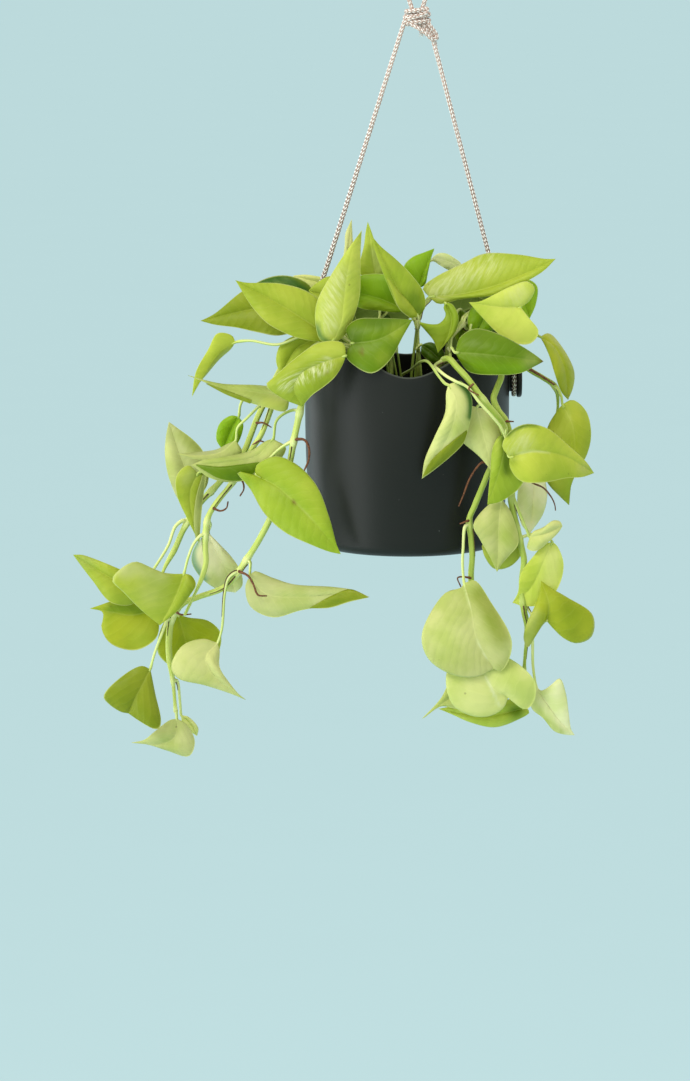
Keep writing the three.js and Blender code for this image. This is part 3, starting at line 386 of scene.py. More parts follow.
def vein_pattern(material, parts, place):
    """Lines that slant forward from the rib.

    Gives how far a point is from the rib, how far on it is along the slant, and how far from a line.
    """
    aside = maths(material, "ABSOLUTE", parts[0])
    onward = maths(material, "SUBTRACT", parts[1], times(material, aside, VEIN_SLANT))
    wander = times(material, noise(material, place, 0.7, 2.0), 1.1)
    phase = maths(material, "FRACT", plus(material, times(material, onward, VEINS_PER_CENTIMETRE), wander))
    off_vein = maths(material, "ABSOLUTE", maths(material, "SUBTRACT", phase, 0.5))
    return aside, onward, off_vein


print("veins are", round(10 / VEINS_PER_CENTIMETRE, 1), "mm apart along the rib")

# %% Leaf materials
PALE_GREEN = colour(214, 224, 140)
CREAM = colour(228, 232, 170)
SPECK_BROWN = colour(104, 88, 36)
SHADED_TONE = (0.78, 0.86, 0.58)
PALER_TONE = (1.5, 1.35, 1.6)
GLOW_TONE = (1.0, 1.0, 0.55)


def cream_streaks(material, onward, aside_of_rib):
    """Streaks along the veins, as strong as the marbling that each point keeps."""
    stretched = node(material, "ShaderNodeCombineXYZ", {
        0: times(material, onward, 3.4), 1: times(material, aside_of_rib, 1.1),
    }).outputs[0]
    marble = node(material, "ShaderNodeAttribute", attribute_name="Marble").outputs["Fac"]
    streak = smooth_range(material, noise(material, stretched, 0.8, 4.0, 0.62), 0.40, 0.66)
    return times(material, streak, marble)


def leaf_material(name, roughness, gloss, vein_light, midrib_light, vein_height):
    material = new_material(name)
    tint, parts, place, own = painted(material)
    aside, onward, off_vein = vein_pattern(material, parts, place)
    cloud = noise(material, own, 28.0, 4.0)
    shaded = toned(material, tint, SHADED_TONE)
    base = mixed(material, smooth_range(material, cloud, 0.36, 0.68), tint, shaded)
    base = mixed(material, cream_streaks(material, onward, parts[0]), base, CREAM)

    paler = mixed(material, 0.45, toned(material, tint, PALER_TONE), PALE_GREEN)
    vein = smooth_range(material, off_vein, 0.09, 0.0)
    inward = smooth_range(material, parts[2], 0.97, 0.55)
    base = mixed(material, times(material, times(material, vein, inward), vein_light), base, paler)
    midrib = smooth_range(material, aside, 0.10, 0.02)
    toward_base = smooth_range(material, parts[1], 9.0, 0.5)
    base = mixed(material, times(material, times(material, midrib, toward_base), midrib_light), base, paler)
    speck = smooth_range(material, noise(material, own, 130.0, 1.0), 0.785, 0.81)
    base = mixed(material, times(material, speck, 0.4), base, SPECK_BROWN)
    edge = smooth_range(material, parts[2], 0.955, 0.99)
    base = mixed(material, times(material, edge, 0.55), base, PALE_GREEN)

    swell = smooth_range(material, off_vein, 0.0, 0.42)
    grain = noise(material, own, 420.0, 2.0)
    pucker = noise(material, own, 85.0, 1.0)
    height = plus(material, times(material, grain, 0.06), pucker)
    height = plus(material, times(material, swell, vein_height), height)
    normal = bumped(material, height, 0.40, 0.0012)
    surface = node(material, "ShaderNodeBsdfPrincipled", {
        "Base Color": base, "Roughness": plus(material, roughness, times(material, cloud, 0.14)),
        "Normal": normal, "Specular IOR Level": gloss,
    })
    surface.inputs["Specular Tint"].default_value = (0.96, 1.0, 0.72, 1)
    glow = node(material, "ShaderNodeBsdfTranslucent", {
        "Color": toned(material, base, GLOW_TONE), "Normal": normal,
    })
    both = node(material, "ShaderNodeMixShader", {
        0: 0.26, 1: surface.outputs[0], 2: glow.outputs[0],
    })
    return finish_with(material, both.outputs[0])


leaf_top = leaf_material("leaf_top", 0.30, 0.28, 0.08, 0.22, 0.28)
leaf_under = leaf_material("leaf_under", 0.44, 0.18, 0.10, 0.34, -0.30)
print("leaf finishes:", leaf_top.name, leaf_under.name)

# %% [markdown]
# ## Stem finishes
# Stems and stalks are paler than the leaves, with fine streaks that run along them. Aerial roots and the
# dry sheaths at the joints are brown and rough. One flat green would be simpler, but the streaks and one
# side darkened as painted shade are what make a thin stem look round.

# %% Stem and root materials
def stem_material():
    material = new_material("stem_green")
    tint, parts, place, _ = painted(material)
    stretched = node(material, "ShaderNodeVectorMath", {0: place, 1: (1.3, 0.22, 1.3)},
                     operation="MULTIPLY")
    streak = noise(material, stretched.outputs[0], 2.0, 2.0)
    base = mixed(material, smooth_range(material, streak, 0.42, 0.66), tint,
                 toned(material, tint, (0.84, 0.90, 0.66)))
    # Painted shade: one side of each stem and stalk, the same side all along it, is darkened.
    painted_shade_side = times(material, smooth_range(material, parts[0], 0.2, -0.6), 0.8)
    base = mixed(material, painted_shade_side, base, toned(material, base, (0.58, 0.68, 0.34)))
    normal = bumped(material, streak, 0.3, 0.0006)
    surface = node(material, "ShaderNodeBsdfPrincipled", {
        "Base Color": base, "Roughness": 0.42, "Normal": normal, "Specular IOR Level": 0.25,
    })
    surface.inputs["Subsurface Weight"].default_value = 0.15
    surface.inputs["Subsurface Radius"].default_value = (0.002, 0.003, 0.001)
    return finish_with(material, surface.outputs[0])


def root_material():
    material = new_material("root_brown")
    tint, _, _, own = painted(material)
    bark = noise(material, own, 900.0, 3.0)
    base = mixed(material, smooth_range(material, bark, 0.4, 0.62), tint,
                 toned(material, tint, (0.42, 0.36, 0.32)))
    surface = node(material, "ShaderNodeBsdfPrincipled", {
        "Base Color": base, "Roughness": 0.8, "Normal": bumped(material, bark, 0.8, 0.0006),
    })
    return finish_with(material, surface.outputs[0])


stem_green = stem_material()
root_brown = root_material()
print("stem finishes:", stem_green.name, root_brown.name)

# %% [markdown]
# ## Leaves and stems
# Each leaf was measured by its midrib and its two margins. A sheet is ruled between them, bellied a little
# between rib and margin, and given two faces a fraction of a millimetre apart, with a groove over the
# midrib and a raised rib below it. A flat plane with a leaf picture would look right from one side only.
# This leaf has its thickness, its folds and its own two finishes from every side.
#
# Two tables name the tones of this plant. Most leaves show their glossy top, and some have turned over and
# show the pale underside. Some tones also hold painted light and shade: deep and shade are partly painted
# shade for leaves that lie among others, chalk and ivory are partly painted light, which keeps pale leaves
# bright where they lie in shade, and dim is painted shade on the undersides of the leaves at the back. Each
# leaf has a short label, and its small ripples are drawn at random from that label, so they come out the
# same each time.

# %% The tones of the plant
TOPS = {
    "lemon": colour(216, 226, 98),
    "sunny": colour(203, 212, 90),
    "apple": colour(194, 204, 70),
    "lime": colour(180, 193, 62),
    "fresh": colour(166, 187, 52),
    "olive": colour(180, 187, 44),
    "moss": colour(146, 158, 34),
    "grass": colour(150, 190, 30),
    "bright": colour(172, 208, 42),
    # deep and shade are partly painted shade, for leaves that lie among others.
    "deep": colour(112, 142, 14),
    "shade": colour(74, 104, 14),
}
UNDERSIDES = {
    # chalk and ivory (below) are partly painted light, for pale leaves that lie in shade.
    "chalk": colour(242, 244, 190),
    "milky": colour(228, 230, 146),
    "pale": colour(213, 214, 138),
    "silver": colour(200, 203, 136),
    "dusty": colour(186, 194, 112),
    "ivory": colour(254, 248, 202),
    # dim is painted shade, for the undersides of the leaves at the back.
    "dim": colour(98, 120, 42),
}
STEM = colour(196, 207, 108)
STALK = colour(206, 216, 134)
JOINT = colour(224, 228, 156)
ROOT = colour(126, 78, 44)
SHEATH = colour(98, 72, 42)
# SHADED_STALK is painted shade: the tone of stems and stalks inside the pot.
SHADED_STALK = colour(122, 138, 58)
DARK_PATCH = colour(54, 98, 8)
TEAL_PATCH = colour(86, 130, 58)
GREY_TEAL_PATCH = colour(132, 176, 142)
print("tones:", len(TOPS), "for the tops and", len(UNDERSIDES), "for the undersides")

# %% The sheet in the middle of a leaf
ACROSS_STEPS = np.array([0, 0.035, 0.08, 0.15, 0.26, 0.40, 0.55, 0.70, 0.83, 0.93, 1.0])
ALONG_STEPS = 30
BASE_LOBE_END = 0.12
WAVE_DEPTH = 1.3


def blade_middle(leaf):
    """The middle sheet of a leaf: points, distance from the rib, distance along and share across."""
    rib = through(leaf["midrib"])
    start, end = rib[0], rib[-1]
    shares = np.linspace(0, 1, ALONG_STEPS + 1)
    lobe = leaf["lobe"]
    on_rib_shares = np.where(
        shares < lobe, BASE_LOBE_END * shares / lobe,
        BASE_LOBE_END + (1 - BASE_LOBE_END) * (shares - lobe) / (1 - lobe))
    on_rib = along(rib, on_rib_shares)
    phase = random.Random(leaf["name"]).uniform(0, 6.28)
    halves = []
    for side, key in enumerate(("left", "right")):
        outline = [start[:2], *leaf[key], end[:2]]
        on_edge = along(through(outline), shares)
        width = np.linalg.norm(on_edge - on_rib[:, :2], axis=1)
        share = width / width.max()
        c = ACROSS_STEPS[:, None]
        flat = on_rib[:, :2][None] + (on_edge - on_rib[:, :2])[None] * c[..., None]
        wave = WAVE_DEPTH * share * np.sin(2 * math.pi * (2.1 + 0.4 * side) * shares + phase + 2 * side)
        depth = on_rib[:, 2] + leaf["lean"][side] * share * c + leaf["belly"] * share * 4 * c * (1 - c)
        depth = depth + wave * c ** 3
        points = np.concatenate([flat, depth[..., None]], axis=-1)
        halves.append((points, width[None] * c, np.broadcast_to(c, depth.shape)))
    (left, left_off, left_c), (right, right_off, right_c) = halves
    points = np.concatenate([left[::-1], right[1:]]).transpose(1, 0, 2)
    off = np.concatenate([-left_off[::-1], right_off[1:]]).T
    c = np.concatenate([left_c[::-1], right_c[1:]]).T
    reach = on_rib_shares * length_of(rib)
    return points, off, np.broadcast_to(reach[:, None], off.shape), c


def sheet_normals(points):
    """Directions square to a grid of points, also where its rows run together at the ends."""
    rows, columns = points.shape[:2]
    total = np.zeros_like(points)
    a, b, c, d = points[:-1, :-1], points[:-1, 1:], points[1:, 1:], points[1:, :-1]
    face = np.cross(c - a, d - b)
    for rs, cs in (((0, -1), (0, -1)), ((0, -1), (1, None)), ((1, None), (1, None)), ((1, None), (0, -1))):
        total[rs[0]:rs[1], cs[0]:cs[1]] += face
    total[0] = total[0].sum(axis=0)
    total[-1] = total[-1].sum(axis=0)
    return total / (np.linalg.norm(total, axis=2)[..., None] + 1e-12)


print("a leaf's sheet has", ALONG_STEPS + 1, "rows of", 2 * len(ACROSS_STEPS) - 1, "points")


# %% [markdown]
# ## Patches and marbling
# Age leaves soft patches of other tones on a leaf, and some leaves are streaked with cream. Many of the
# patches are also painted shade, where a leaf lies under a neighbour or in a fold, and painted light where
# it is lit more strongly. They could be painted on an image. Here each is a spot or a line with a reach,
# mixed into the points near it.

# %% Patches and marbling
def distance_to(measured, spot):
    """How far each measured point is from a spot, or from a curve through several spots."""
    spot = np.atleast_2d(np.asarray(spot, float))
    line = through(spot, 8) if len(spot) > 1 else spot
    return np.linalg.norm(measured[:, None, :2] - line[None], axis=2).min(axis=1)


def tinted(measured, base, patches):
    """A tint for each measured point: the leaf's own, with soft patches of other tones, some of them painted
    shade and painted light.
    """
    tint = np.broadcast_to(np.asarray(base, float), (len(measured), 3)).copy()
    for spot, reach, tone, strength in patches:
        distance = distance_to(measured, spot) / reach
        share = np.clip(1.3 - distance, 0, 1)[:, None] ** 1.5 * strength
        tint = tint * (1 - share) + np.asarray(tone) * share
    return tint


def marbling(measured, spots):
    """How strongly cream streaks show at each measured point."""
    share = np.zeros(len(measured))
    for spot, reach, strength in spots:
        distance = distance_to(measured, spot) / reach
        share = np.maximum(share, np.clip(1.4 - distance, 0, 1) * strength)
    return share


print("a point 3 mm across and 4 mm up is", distance_to(np.array([[3.0, 4.0]]), (0, 0))[0], "mm away")

# %% [markdown]
# ## Turned-over parts and stalks
# Where the edge of a leaf curls over, its other face shows. The sheet itself could be folded, but that
# takes many more measured rows, so a small second sheet is laid over it from the fold outward.
# Each leaf hangs on a stalk that clasps the stem and thickens just below the leaf. A curve with a bevel
# would do for its shape, but a tube of points also changes tone along the way.

# %% A turned-over part
FOLD_ROWS = 25
FOLD_COLUMNS = 7
FOLD_LIFT = 0.9
FOLD_HALF_THICKNESS = 0.25


def add_turned_part(shape, middle, hinge, edge, look, rise):
    """A part of a leaf that curls over at a fold, so that its other face shows."""
    shares = np.linspace(0, 1, FOLD_ROWS)
    inner, outer = along(through(hinge), shares), along(through(edge), shares)
    c = np.linspace(0, 1, FOLD_COLUMNS)[None, :, None]
    flat = inner[:, None] * (1 - c) + outer[:, None] * c
    gap = np.linalg.norm(flat[:, :, None] - middle[None, None, :, :2], axis=3)
    near = np.argsort(gap, axis=2)[:, :, :4]
    weight = 1 / (np.take_along_axis(gap, near, axis=2) + 0.5) ** 2
    depth = (middle[near, 2] * weight).sum(axis=2) / weight.sum(axis=2)
    taper = np.sin(math.pi * shares)[:, None] ** 0.5
    depth = depth + FOLD_LIFT + rise * taper * np.sin(math.pi * c[..., 0] * 0.75)
    measured = np.concatenate([flat, depth[..., None]], axis=2)
    points = seen(measured.reshape(-1, 3)).reshape(measured.shape)
    normals = sheet_normals(points)
    if normals[..., 1].sum() > 0:
        normals = -normals
    tones = TOPS | UNDERSIDES
    slot = 0 if look in TOPS else 1
    width = np.linalg.norm(outer - inner, axis=1)[:, None]
    share = np.broadcast_to(c[..., 0], depth.shape)
    place = np.stack([0.4 + width * share / 10, np.broadcast_to(shares[:, None] * 4, depth.shape),
                      0.5 + share * 0.5], axis=-1)
    front = shape.grid(points + normals * FOLD_HALF_THICKNESS, tones[look], place, slot)
    back = shape.grid(points - normals * FOLD_HALF_THICKNESS, tones[look], place, slot)
    for column in (0, -1):
        shape.strip(front[:, column], back[:, column], slot)


print("a turned-over part has", 2 * FOLD_ROWS * FOLD_COLUMNS, "points")

# %% A leaf's two faces
HALF_THICKNESS = 0.26
GROOVE_DEPTH, GROOVE_WIDTH = 0.30, 1.3
RIB_HEIGHT, RIB_WIDTH = 0.65, 0.9


def add_blade(shape, leaf):
    """Both faces of a leaf and the narrow edge between them."""
    middle, off, reach, c = blade_middle(leaf)
    flat = middle.reshape(-1, 3)
    points = seen(flat).reshape(middle.shape)
    normals = sheet_normals(points)
    if normals[..., 1].sum() > 0:
        normals = -normals
    top_in_front = leaf["look"] in TOPS
    fade = (1 - np.linspace(0, 1, len(middle))[:, None]) ** 0.5
    groove = GROOVE_DEPTH * np.exp(-(off / GROOVE_WIDTH) ** 2) * fade
    raised_rib = RIB_HEIGHT * np.exp(-(off / RIB_WIDTH) ** 2) * fade
    half = HALF_THICKNESS * (1 - 0.7 * c ** 6)
    own = np.array((TOPS | UNDERSIDES)[leaf["look"]])
    other = np.array(leaf["behind"])
    rng = random.Random(leaf["name"])
    shade = 1 + rng.uniform(-0.05, 0.05)
    place = np.stack([off / 10, reach / 10, c], axis=-1)
    faces = []
    for front in (True, False):
        is_top = top_in_front == front
        lift = half - groove if is_top else half + raised_rib
        sheet = points + normals * (lift * (1 if front else -1))[..., None]
        tint = tinted(flat, own * shade, leaf["patches"]) if front else other * shade
        marble = marbling(flat, leaf["marble"]) if front else 0.0
        faces.append(shape.grid(sheet, tint, place, 0 if is_top else 1, marble=marble))
    for column in (0, -1):
        shape.strip(faces[0][:, column], faces[1][:, column], 0)
    for hinge, edge, look, rise in leaf["turned"]:
        add_turned_part(shape, flat, hinge, edge, look, rise)


print("a leaf has", 2 * (ALONG_STEPS + 1) * (2 * len(ACROSS_STEPS) - 1), "points")

# %% Stalks
STALK_RADIUS = 1.25
SHADE_RADIUS, SHADE_TOP = 94.0, 178.0


def nearest(curve, point):
    return int(np.argmin(np.linalg.norm(curve - point, axis=1)))


def add_dry_line(shape, path, lift, turn):
    """A strip of dried sheath that lies along a stem or a stalk."""
    sides, others = frames_along(path)
    line = path + (sides * math.cos(turn) + others * math.sin(turn)) * lift[:, None]
    shape.tube(line, np.linspace(0.65, 0.25, len(path)), 6, SHEATH, 3)


def painted_shade_in_pot(path, tint):
    """Painted shade: stems and stalks are darkened where they are still inside the pot, in the shade of its
    wall.
    """
    from_axis = np.hypot(path[:, 0], path[:, 1])
    inside = np.clip((SHADE_RADIUS - from_axis) / 14, 0, 1) * np.clip((SHADE_TOP - path[:, 2]) / 10, 0, 1)
    share = 0.8 * inside[:, None]
    return tint * (1 - share) + np.array(SHADED_STALK) * share


def add_stalk(shape, leaf, stem, seed):
    """A leaf's stalk: wide where it clasps the stem, with a thicker knee just under the leaf."""
    visible = seen(leaf["petiole"])
    rib = through(leaf["midrib"])
    top = seen(along(rib, [0.0, 0.05]))
    foot = stem[nearest(stem, visible[0])]
    path = evenly(np.vstack([foot, visible, top]), 1.6)
    count = len(path)
    share = np.linspace(0, 1, count)
    clasp = 1.0 * np.exp(-share * 9)
    knee = 0.35 * np.exp(-((share - 0.93) / 0.05) ** 2)
    radius = STALK_RADIUS + clasp + knee - 0.35 * share ** 6
    tint = np.outer(1 - share, JOINT) + np.outer(share, STALK)
    own = np.array((TOPS | UNDERSIDES)[leaf["look"]])
    near_leaf = np.clip((share - 0.86) / 0.14, 0, 1)[:, None]
    tint = tint * (1 - 0.5 * near_leaf) + own * 0.5 * near_leaf
    # The stalk's tint, with painted shade where it is inside the pot.
    shape.tube(path, radius, 10, painted_shade_in_pot(path, tint), 2)
    rng = random.Random(seed)
    if count > 14 and rng.random() < 0.6:
        end = int(count * rng.uniform(0.35, 0.7))
        if end > 5:
            add_dry_line(shape, path[1:end], radius[1:end] + 0.1, rng.uniform(0, 6.28))
    return foot


print("a stalk is", 2 * STALK_RADIUS, "mm thick")

# %% A leafy stem
ROOTED_HEIGHTS = (102.3, 114.5, 133)


def blur(count, seed, smooth):
    """Random numbers from -1 to 1 that change softly from one to the next."""
    rng = np.random.default_rng(seed)
    coarse = rng.uniform(-1, 1, max(4, int(count / smooth) + 4))
    return np.interp(np.linspace(0, len(coarse) - 1, count), np.arange(len(coarse)), coarse)


class Vine:
    """A leafy stem, grown leaf by leaf and built as one piece. It starts straight, down in the soil."""

    def __init__(self, name, root, radius, stem):
        self.name, self.radius = name, radius
        start = [[root[0], root[1], height] for height in ROOTED_HEIGHTS]
        self.path = evenly(np.vstack([start, seen(stem)]), 1.5)
        self.leaves, self.roots, self.young_stalks = [], [], []

    def leaf(self, name, look, petiole, midrib, left, right, lean=(0, 0), lobe=0.25, belly=3,
             patches=(), marble=(), turned=(), behind=None):
        if behind is None:
            behind = UNDERSIDES["silver"] if look in TOPS else TOPS["lime"]
        self.leaves.append(dict(
            name=name, look=look, petiole=petiole, midrib=midrib, left=left, right=right, lean=lean,
            lobe=lobe, belly=belly, patches=patches, marble=marble, turned=turned, behind=behind))

    def aerial_root(self, *points, radius=0.9):
        self.roots.append((points, radius))

    def young_stalk(self, *points, radius=1.2, tone=SHADED_STALK):
        """A stalk that rises straight from the soil, in millimetres from the pot's foot. Unless another tone
        is given, it has the painted shade of the pot's inside.
        """
        self.young_stalks.append((points, radius, tone))

    def add_dry_lines(self, shape, feet, radius):
        """Remains of sheaths, one above each joint that stands clear of the soil."""
        rng = random.Random(self.name)
        for foot in feet:
            start = nearest(self.path, foot) + 2
            end = min(start + rng.randint(8, 22), len(self.path) - 1)
            if self.path[start - 2][2] > 158 or end - start < 6 or rng.random() < 0.15:
                continue
            add_dry_line(shape, self.path[start:end], radius[start:end] * 1.02, rng.uniform(0, 6.28))

    def build(self):
        shape = Shape()
        feet = []
        for number, leaf in enumerate(self.leaves):
            add_blade(shape, leaf)
            feet.append(add_stalk(shape, leaf, self.path, f"{self.name}{number}"))
        radius = self.radius * (0.90 + 0.04 * blur(len(self.path), len(self.name), 9))
        tint = np.broadcast_to(np.array(STEM), (len(self.path), 3)).copy()
        for foot in feet:
            gap = np.linalg.norm(self.path - foot, axis=1)
            bulge = np.exp(-(gap / 4.5) ** 2)
            radius = radius + 0.24 * self.radius * bulge
            tint = tint * (1 - 0.8 * bulge[:, None]) + np.array(JOINT) * 0.8 * bulge[:, None]
        tail = np.clip((len(self.path) - np.arange(len(self.path))) / 30, 0.55, 1)
        # The stem's tint, with painted shade where it is inside the pot.
        shape.tube(self.path, radius * tail, 20, painted_shade_in_pot(self.path, tint), 2, ridges=0.05)
        self.add_dry_lines(shape, feet, radius * tail)
        for points, thick in self.roots:
            path = evenly(seen(points), 1.0)
            taper = 1.3 * thick * np.linspace(1, 0.5, len(path)) * (1 + 0.12 * blur(len(path), 5, 3))
            shape.tube(path, taper, 7, ROOT, 3)
        for path, thick, tone in self.young_stalks:
            shape.tube(evenly(path, 2.0), thick, 10, tone, 2)
        piece = shape.make(f"{self.name}_stem_and_leaves", [leaf_top, leaf_under, stem_green, root_brown])
        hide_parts(self.name)
        tell(piece)


print("a stem starts", ROOTED_HEIGHTS[0], "mm above the pot's foot, inside the soil")

# %% [markdown]
# ## The upper left tuft
# A short stem at the left carries the large pointed leaves that fan out over the rim. They were measured
# one by one, because their sizes, tilts and overlaps are what a reader knows the plant by.

# %% The upper left tuft
crown_left = Vine(
    "crown_left", root=(-34, -44), radius=2.6,
    stem=[(-38, 150, 50), (-45, 175, 52)],
)
crown_left.leaf(
    "A1", "lime",
    petiole=[(-50, 172, 56), (-58, 176, 60)],
    midrib=[(-67, 182, 60), (-110, 210, 55), (-152, 233, 48)],
    left=[(-64, 192), (-71, 209), (-88, 223), (-112, 230), (-143, 231)],
    right=[(-70, 178.5), (-82, 179), (-97, 182), (-110, 187), (-124, 195), (-137, 209)],
    lean=(-8, 10),
)
crown_left.leaf(
    "A2", "sunny",
    petiole=[(-48, 162, 62), (-58, 168, 71)],
    midrib=[(-66, 177, 76), (-58, 195, 76), (-56, 212, 72), (-53, 238, 63), (-46, 268, 53), (-40, 277, 50)],
    left=[(-76, 179), (-81, 194), (-80, 213), (-67, 238), (-52, 261)],
    right=[(-57, 182), (-48, 198), (-42, 218), (-41, 238), (-41, 257)],
    lean=(-8, -14),
    patches=[([(-66, 190), (-68, 212), (-58, 240)], 12, UNDERSIDES["dusty"], 0.45),
             ([(-51, 190), (-46, 215), (-45, 240)], 8, TOPS["lemon"], 0.7),
             ([(-80, 193), (-76, 183), (-69, 178)], 3.6, TEAL_PATCH, 0.85)],
    marble=[([(-70, 194), (-67, 215), (-60, 236)], 8, 0.5)],
)
crown_left.leaf(
    "A3", "lime",
    petiole=[(-42, 163, 58), (-54, 164, 66), (-60, 166, 78)],
    midrib=[(-54, 166, 88), (-74, 160, 93), (-94, 150, 95), (-100, 136, 93), (-93, 121, 88)],
    left=[(-56, 177), (-77, 178), (-100, 163), (-118, 147), (-125, 140), (-110, 128)],
    right=[(-57, 158), (-64, 147), (-73, 139), (-84, 131)],
    lean=(-6, 2),
    patches=[([(-60, 171), (-84, 168)], 9, TOPS["lemon"], 0.35), ((-71, 151), 1.6, ROOT, 0.6)],
    marble=[([(-108, 140), (-96, 146), (-84, 151), (-70, 159)], 6, 0.95)],
)
crown_left.leaf(
    "A4", "dusty",
    petiole=[(-56, 176, 50), (-74, 179, 51), (-90, 168, 55), (-101, 146, 61)],
    midrib=[(-104, 129, 62), (-130, 133, 56), (-163, 139, 46), (-194, 148.5, 36)],
    left=[(-107, 136), (-129, 139.8), (-165, 141.5)],
    right=[(-107, 117), (-124, 120), (-155, 130), (-178, 142)],
    lean=(-10, 6),
    patches=[([(-110, 121), (-124, 124)], 8, TOPS["lime"], 0.6),
             ((-150, 136), 12, UNDERSIDES["pale"], 0.4)],
    turned=[([(-178, 141.5), (-158, 134.5), (-138, 127)],
             [(-178, 141), (-160, 131.5), (-139, 123.5)], "moss", 0.5)],
)
crown_left.leaf(
    "A5", "lime",
    petiole=[(-56, 186, 50), (-70, 187, 48)],
    midrib=[(-80, 182, 45), (-98, 172, 46), (-112, 148, 46)],
    left=[(-90, 186), (-111, 177), (-116, 163)],
    right=[(-78, 170), (-90, 157), (-104, 150)],
)
crown_left.leaf(
    "A6", "moss",
    petiole=[(-58, 186, 34), (-74, 200, 26)],
    midrib=[(-84, 213, 22), (-115, 211, 19), (-150, 205, 14), (-183, 197, 8)],
    left=[(-85, 227), (-100, 236), (-119, 236.5), (-145, 224), (-171, 203)],
    right=[(-90, 194), (-112, 184), (-133, 187), (-151, 191), (-170, 193.5)],
    lean=(-6, 8),
    patches=[([(-130, 229), (-119, 233), (-105, 232), (-91, 224)], 8, DARK_PATCH, 1.0)],
)
crown_left.leaf(
    "A8", "milky",
    petiole=[(-52, 196, 24), (-56, 216, -6)],
    midrib=[(-60, 226, -16), (-80, 232, -18), (-101, 237, -20)],
    left=[(-62, 233), (-76, 236), (-91, 238)],
    right=[(-66, 218), (-82, 222), (-95, 231)],
)
crown_left.leaf(
    "A9", "lime",
    petiole=[(-52, 184, 48), (-56, 196, 46)],
    midrib=[(-62, 206, 44), (-72, 218, 41), (-87, 224, 36)],
    left=[(-59, 222), (-67, 236.5), (-81, 230)],
    right=[(-70, 206), (-81, 214)],
)
crown_left.leaf(
    "A10", "pale",
    petiole=[(-50, 190, 48), (-53, 206, 43)],
    midrib=[(-56, 220, 40), (-53, 250, 38), (-49, 287, 30)],
    left=[(-58, 226), (-57, 248), (-55, 264), (-54.5, 274)],
    right=[(-48, 226), (-47, 246), (-48, 270)],
    lean=(-2, -4),
)
crown_left.leaf(
    "F1", "apple",
    petiole=[(-62, 184, 50), (-90, 184, 54), (-114.6, 176, 51), (-138.7, 179.4, 43)],
    midrib=[(-152, 178, 36), (-165, 170, 36), (-179, 150, 32), (-190.6, 130, 26)],
    left=[(-155, 184), (-168, 186), (-176, 172), (-187, 152)],
    right=[(-156, 172), (-166, 163), (-177, 150), (-186, 139)],
    lean=(4, -12), belly=1,
)
crown_left.leaf(
    "B6", "deep",
    petiole=[(-40, 168, 60), (-46, 178, 72)],
    midrib=[(-49, 177, 80), (-24, 181, 84), (5, 198, 78)],
    left=[(-54, 190), (-44, 198.5), (-28, 199.5), (-10, 199)],
    right=[(-54, 166), (-46, 157), (-31, 150.5), (-16, 161), (-3, 184)],
    lean=(-12, 6),
    # Painted shade darkens B6 near its base and along its upper edge; painted light brightens its tip and
    # lower edge.
    patches=[((-50, 182), 15, TOPS["shade"], 0.55), ([(-34, 196), (-8, 195)], 8, TOPS["shade"], 0.4),
             ((-8, 187), 12, TOPS["lime"], 0.5), ((-20, 163), 10, TOPS["lime"], 0.3),
             ((-40, 170), 2.6, ROOT, 0.85)],
)
crown_left.young_stalk((-14, -62, 127), (-16, -64, 150), (-22, -68, 186), radius=1.1)
crown_left.young_stalk((-8, -60, 127), (-9, -62, 150), (-16, -66, 188), radius=0.9)
crown_left.young_stalk((-22, -58, 127), (-24, -60, 150), (-28, -64, 184), radius=1.2)
crown_left.build()

# %% [markdown]
# ## The upper middle tuft
# Upright leaves stand in the middle, between the two legs of the rope, and one long leaf reaches right.
# They could be copies of one leaf, turned and scaled, but no two of them are alike, so each has its own
# outline.

# %% The upper middle tuft
crown_centre = Vine(
    "crown_centre", root=(6, -20), radius=2.8,
    stem=[(10, 160, 26), (9, 198, 26)],
)
crown_centre.leaf(
    "B1", "fresh",
    petiole=[(6, 200, 22), (-8, 216, 20), (-20, 228, 20)],
    midrib=[(-27, 233, 20), (-31, 258, 18), (-34.6, 285, 14)],
    left=[(-43, 240), (-41, 252), (-38, 264), (-36.5, 276)],
    right=[(-20, 238), (-24, 254), (-28.5, 268), (-32, 278)],
    belly=1,
    patches=[([(-24, 242), (-28, 258)], 6, UNDERSIDES["dusty"], 0.6),
             ([(-40, 248), (-36, 272)], 4, TOPS["lemon"], 0.5),
             ([(-33, 268), (-34.6, 284)], 6, TOPS["lemon"], 0.5)],
)
crown_centre.leaf(
    "B2", "fresh",
    petiole=[(10, 190, 34), (11, 194, 44)],
    midrib=[(10, 201, 48), (-2, 216, 50), (-14, 238, 47), (-30, 271, 40)],
    left=[(3, 200), (-7, 208), (-14, 222), (-24, 247), (-29, 262)],
    right=[(16, 208), (15, 222), (4, 238), (-10, 252), (-23, 263)],
    lean=(6, -10),
    turned=[([(-17, 236), (-7.5, 224), (5, 210), (10.5, 201)],
             [(-17.5, 234), (-13, 224), (-7, 208), (3, 199.5)], "lime", 1.2)],
    # Painted shade darkens B2 near its base; painted light brightens it towards its tip.
    patches=[((6, 216), 12, TOPS["deep"], 0.8), ((10, 206), 7, TOPS["shade"], 0.5),
             ([(-14, 246), (-24, 262)], 8, TOPS["lime"], 0.4)],
)
crown_centre.leaf(
    "B3", "grass",
    petiole=[(6, 198, 28), (4, 204, 28)],
    midrib=[(0, 206, 30), (-25, 217, 28), (-60, 225, 20)],
    left=[(2, 224), (-14, 237), (-38, 238), (-53, 232)],
    right=[(-8, 204.5), (-24, 206), (-43, 209)],
    patches=[([(-36, 210), (-12, 208)], 8, TOPS["lime"], 0.5), ((-6, 222), 12, TOPS["deep"], 0.6)],
)
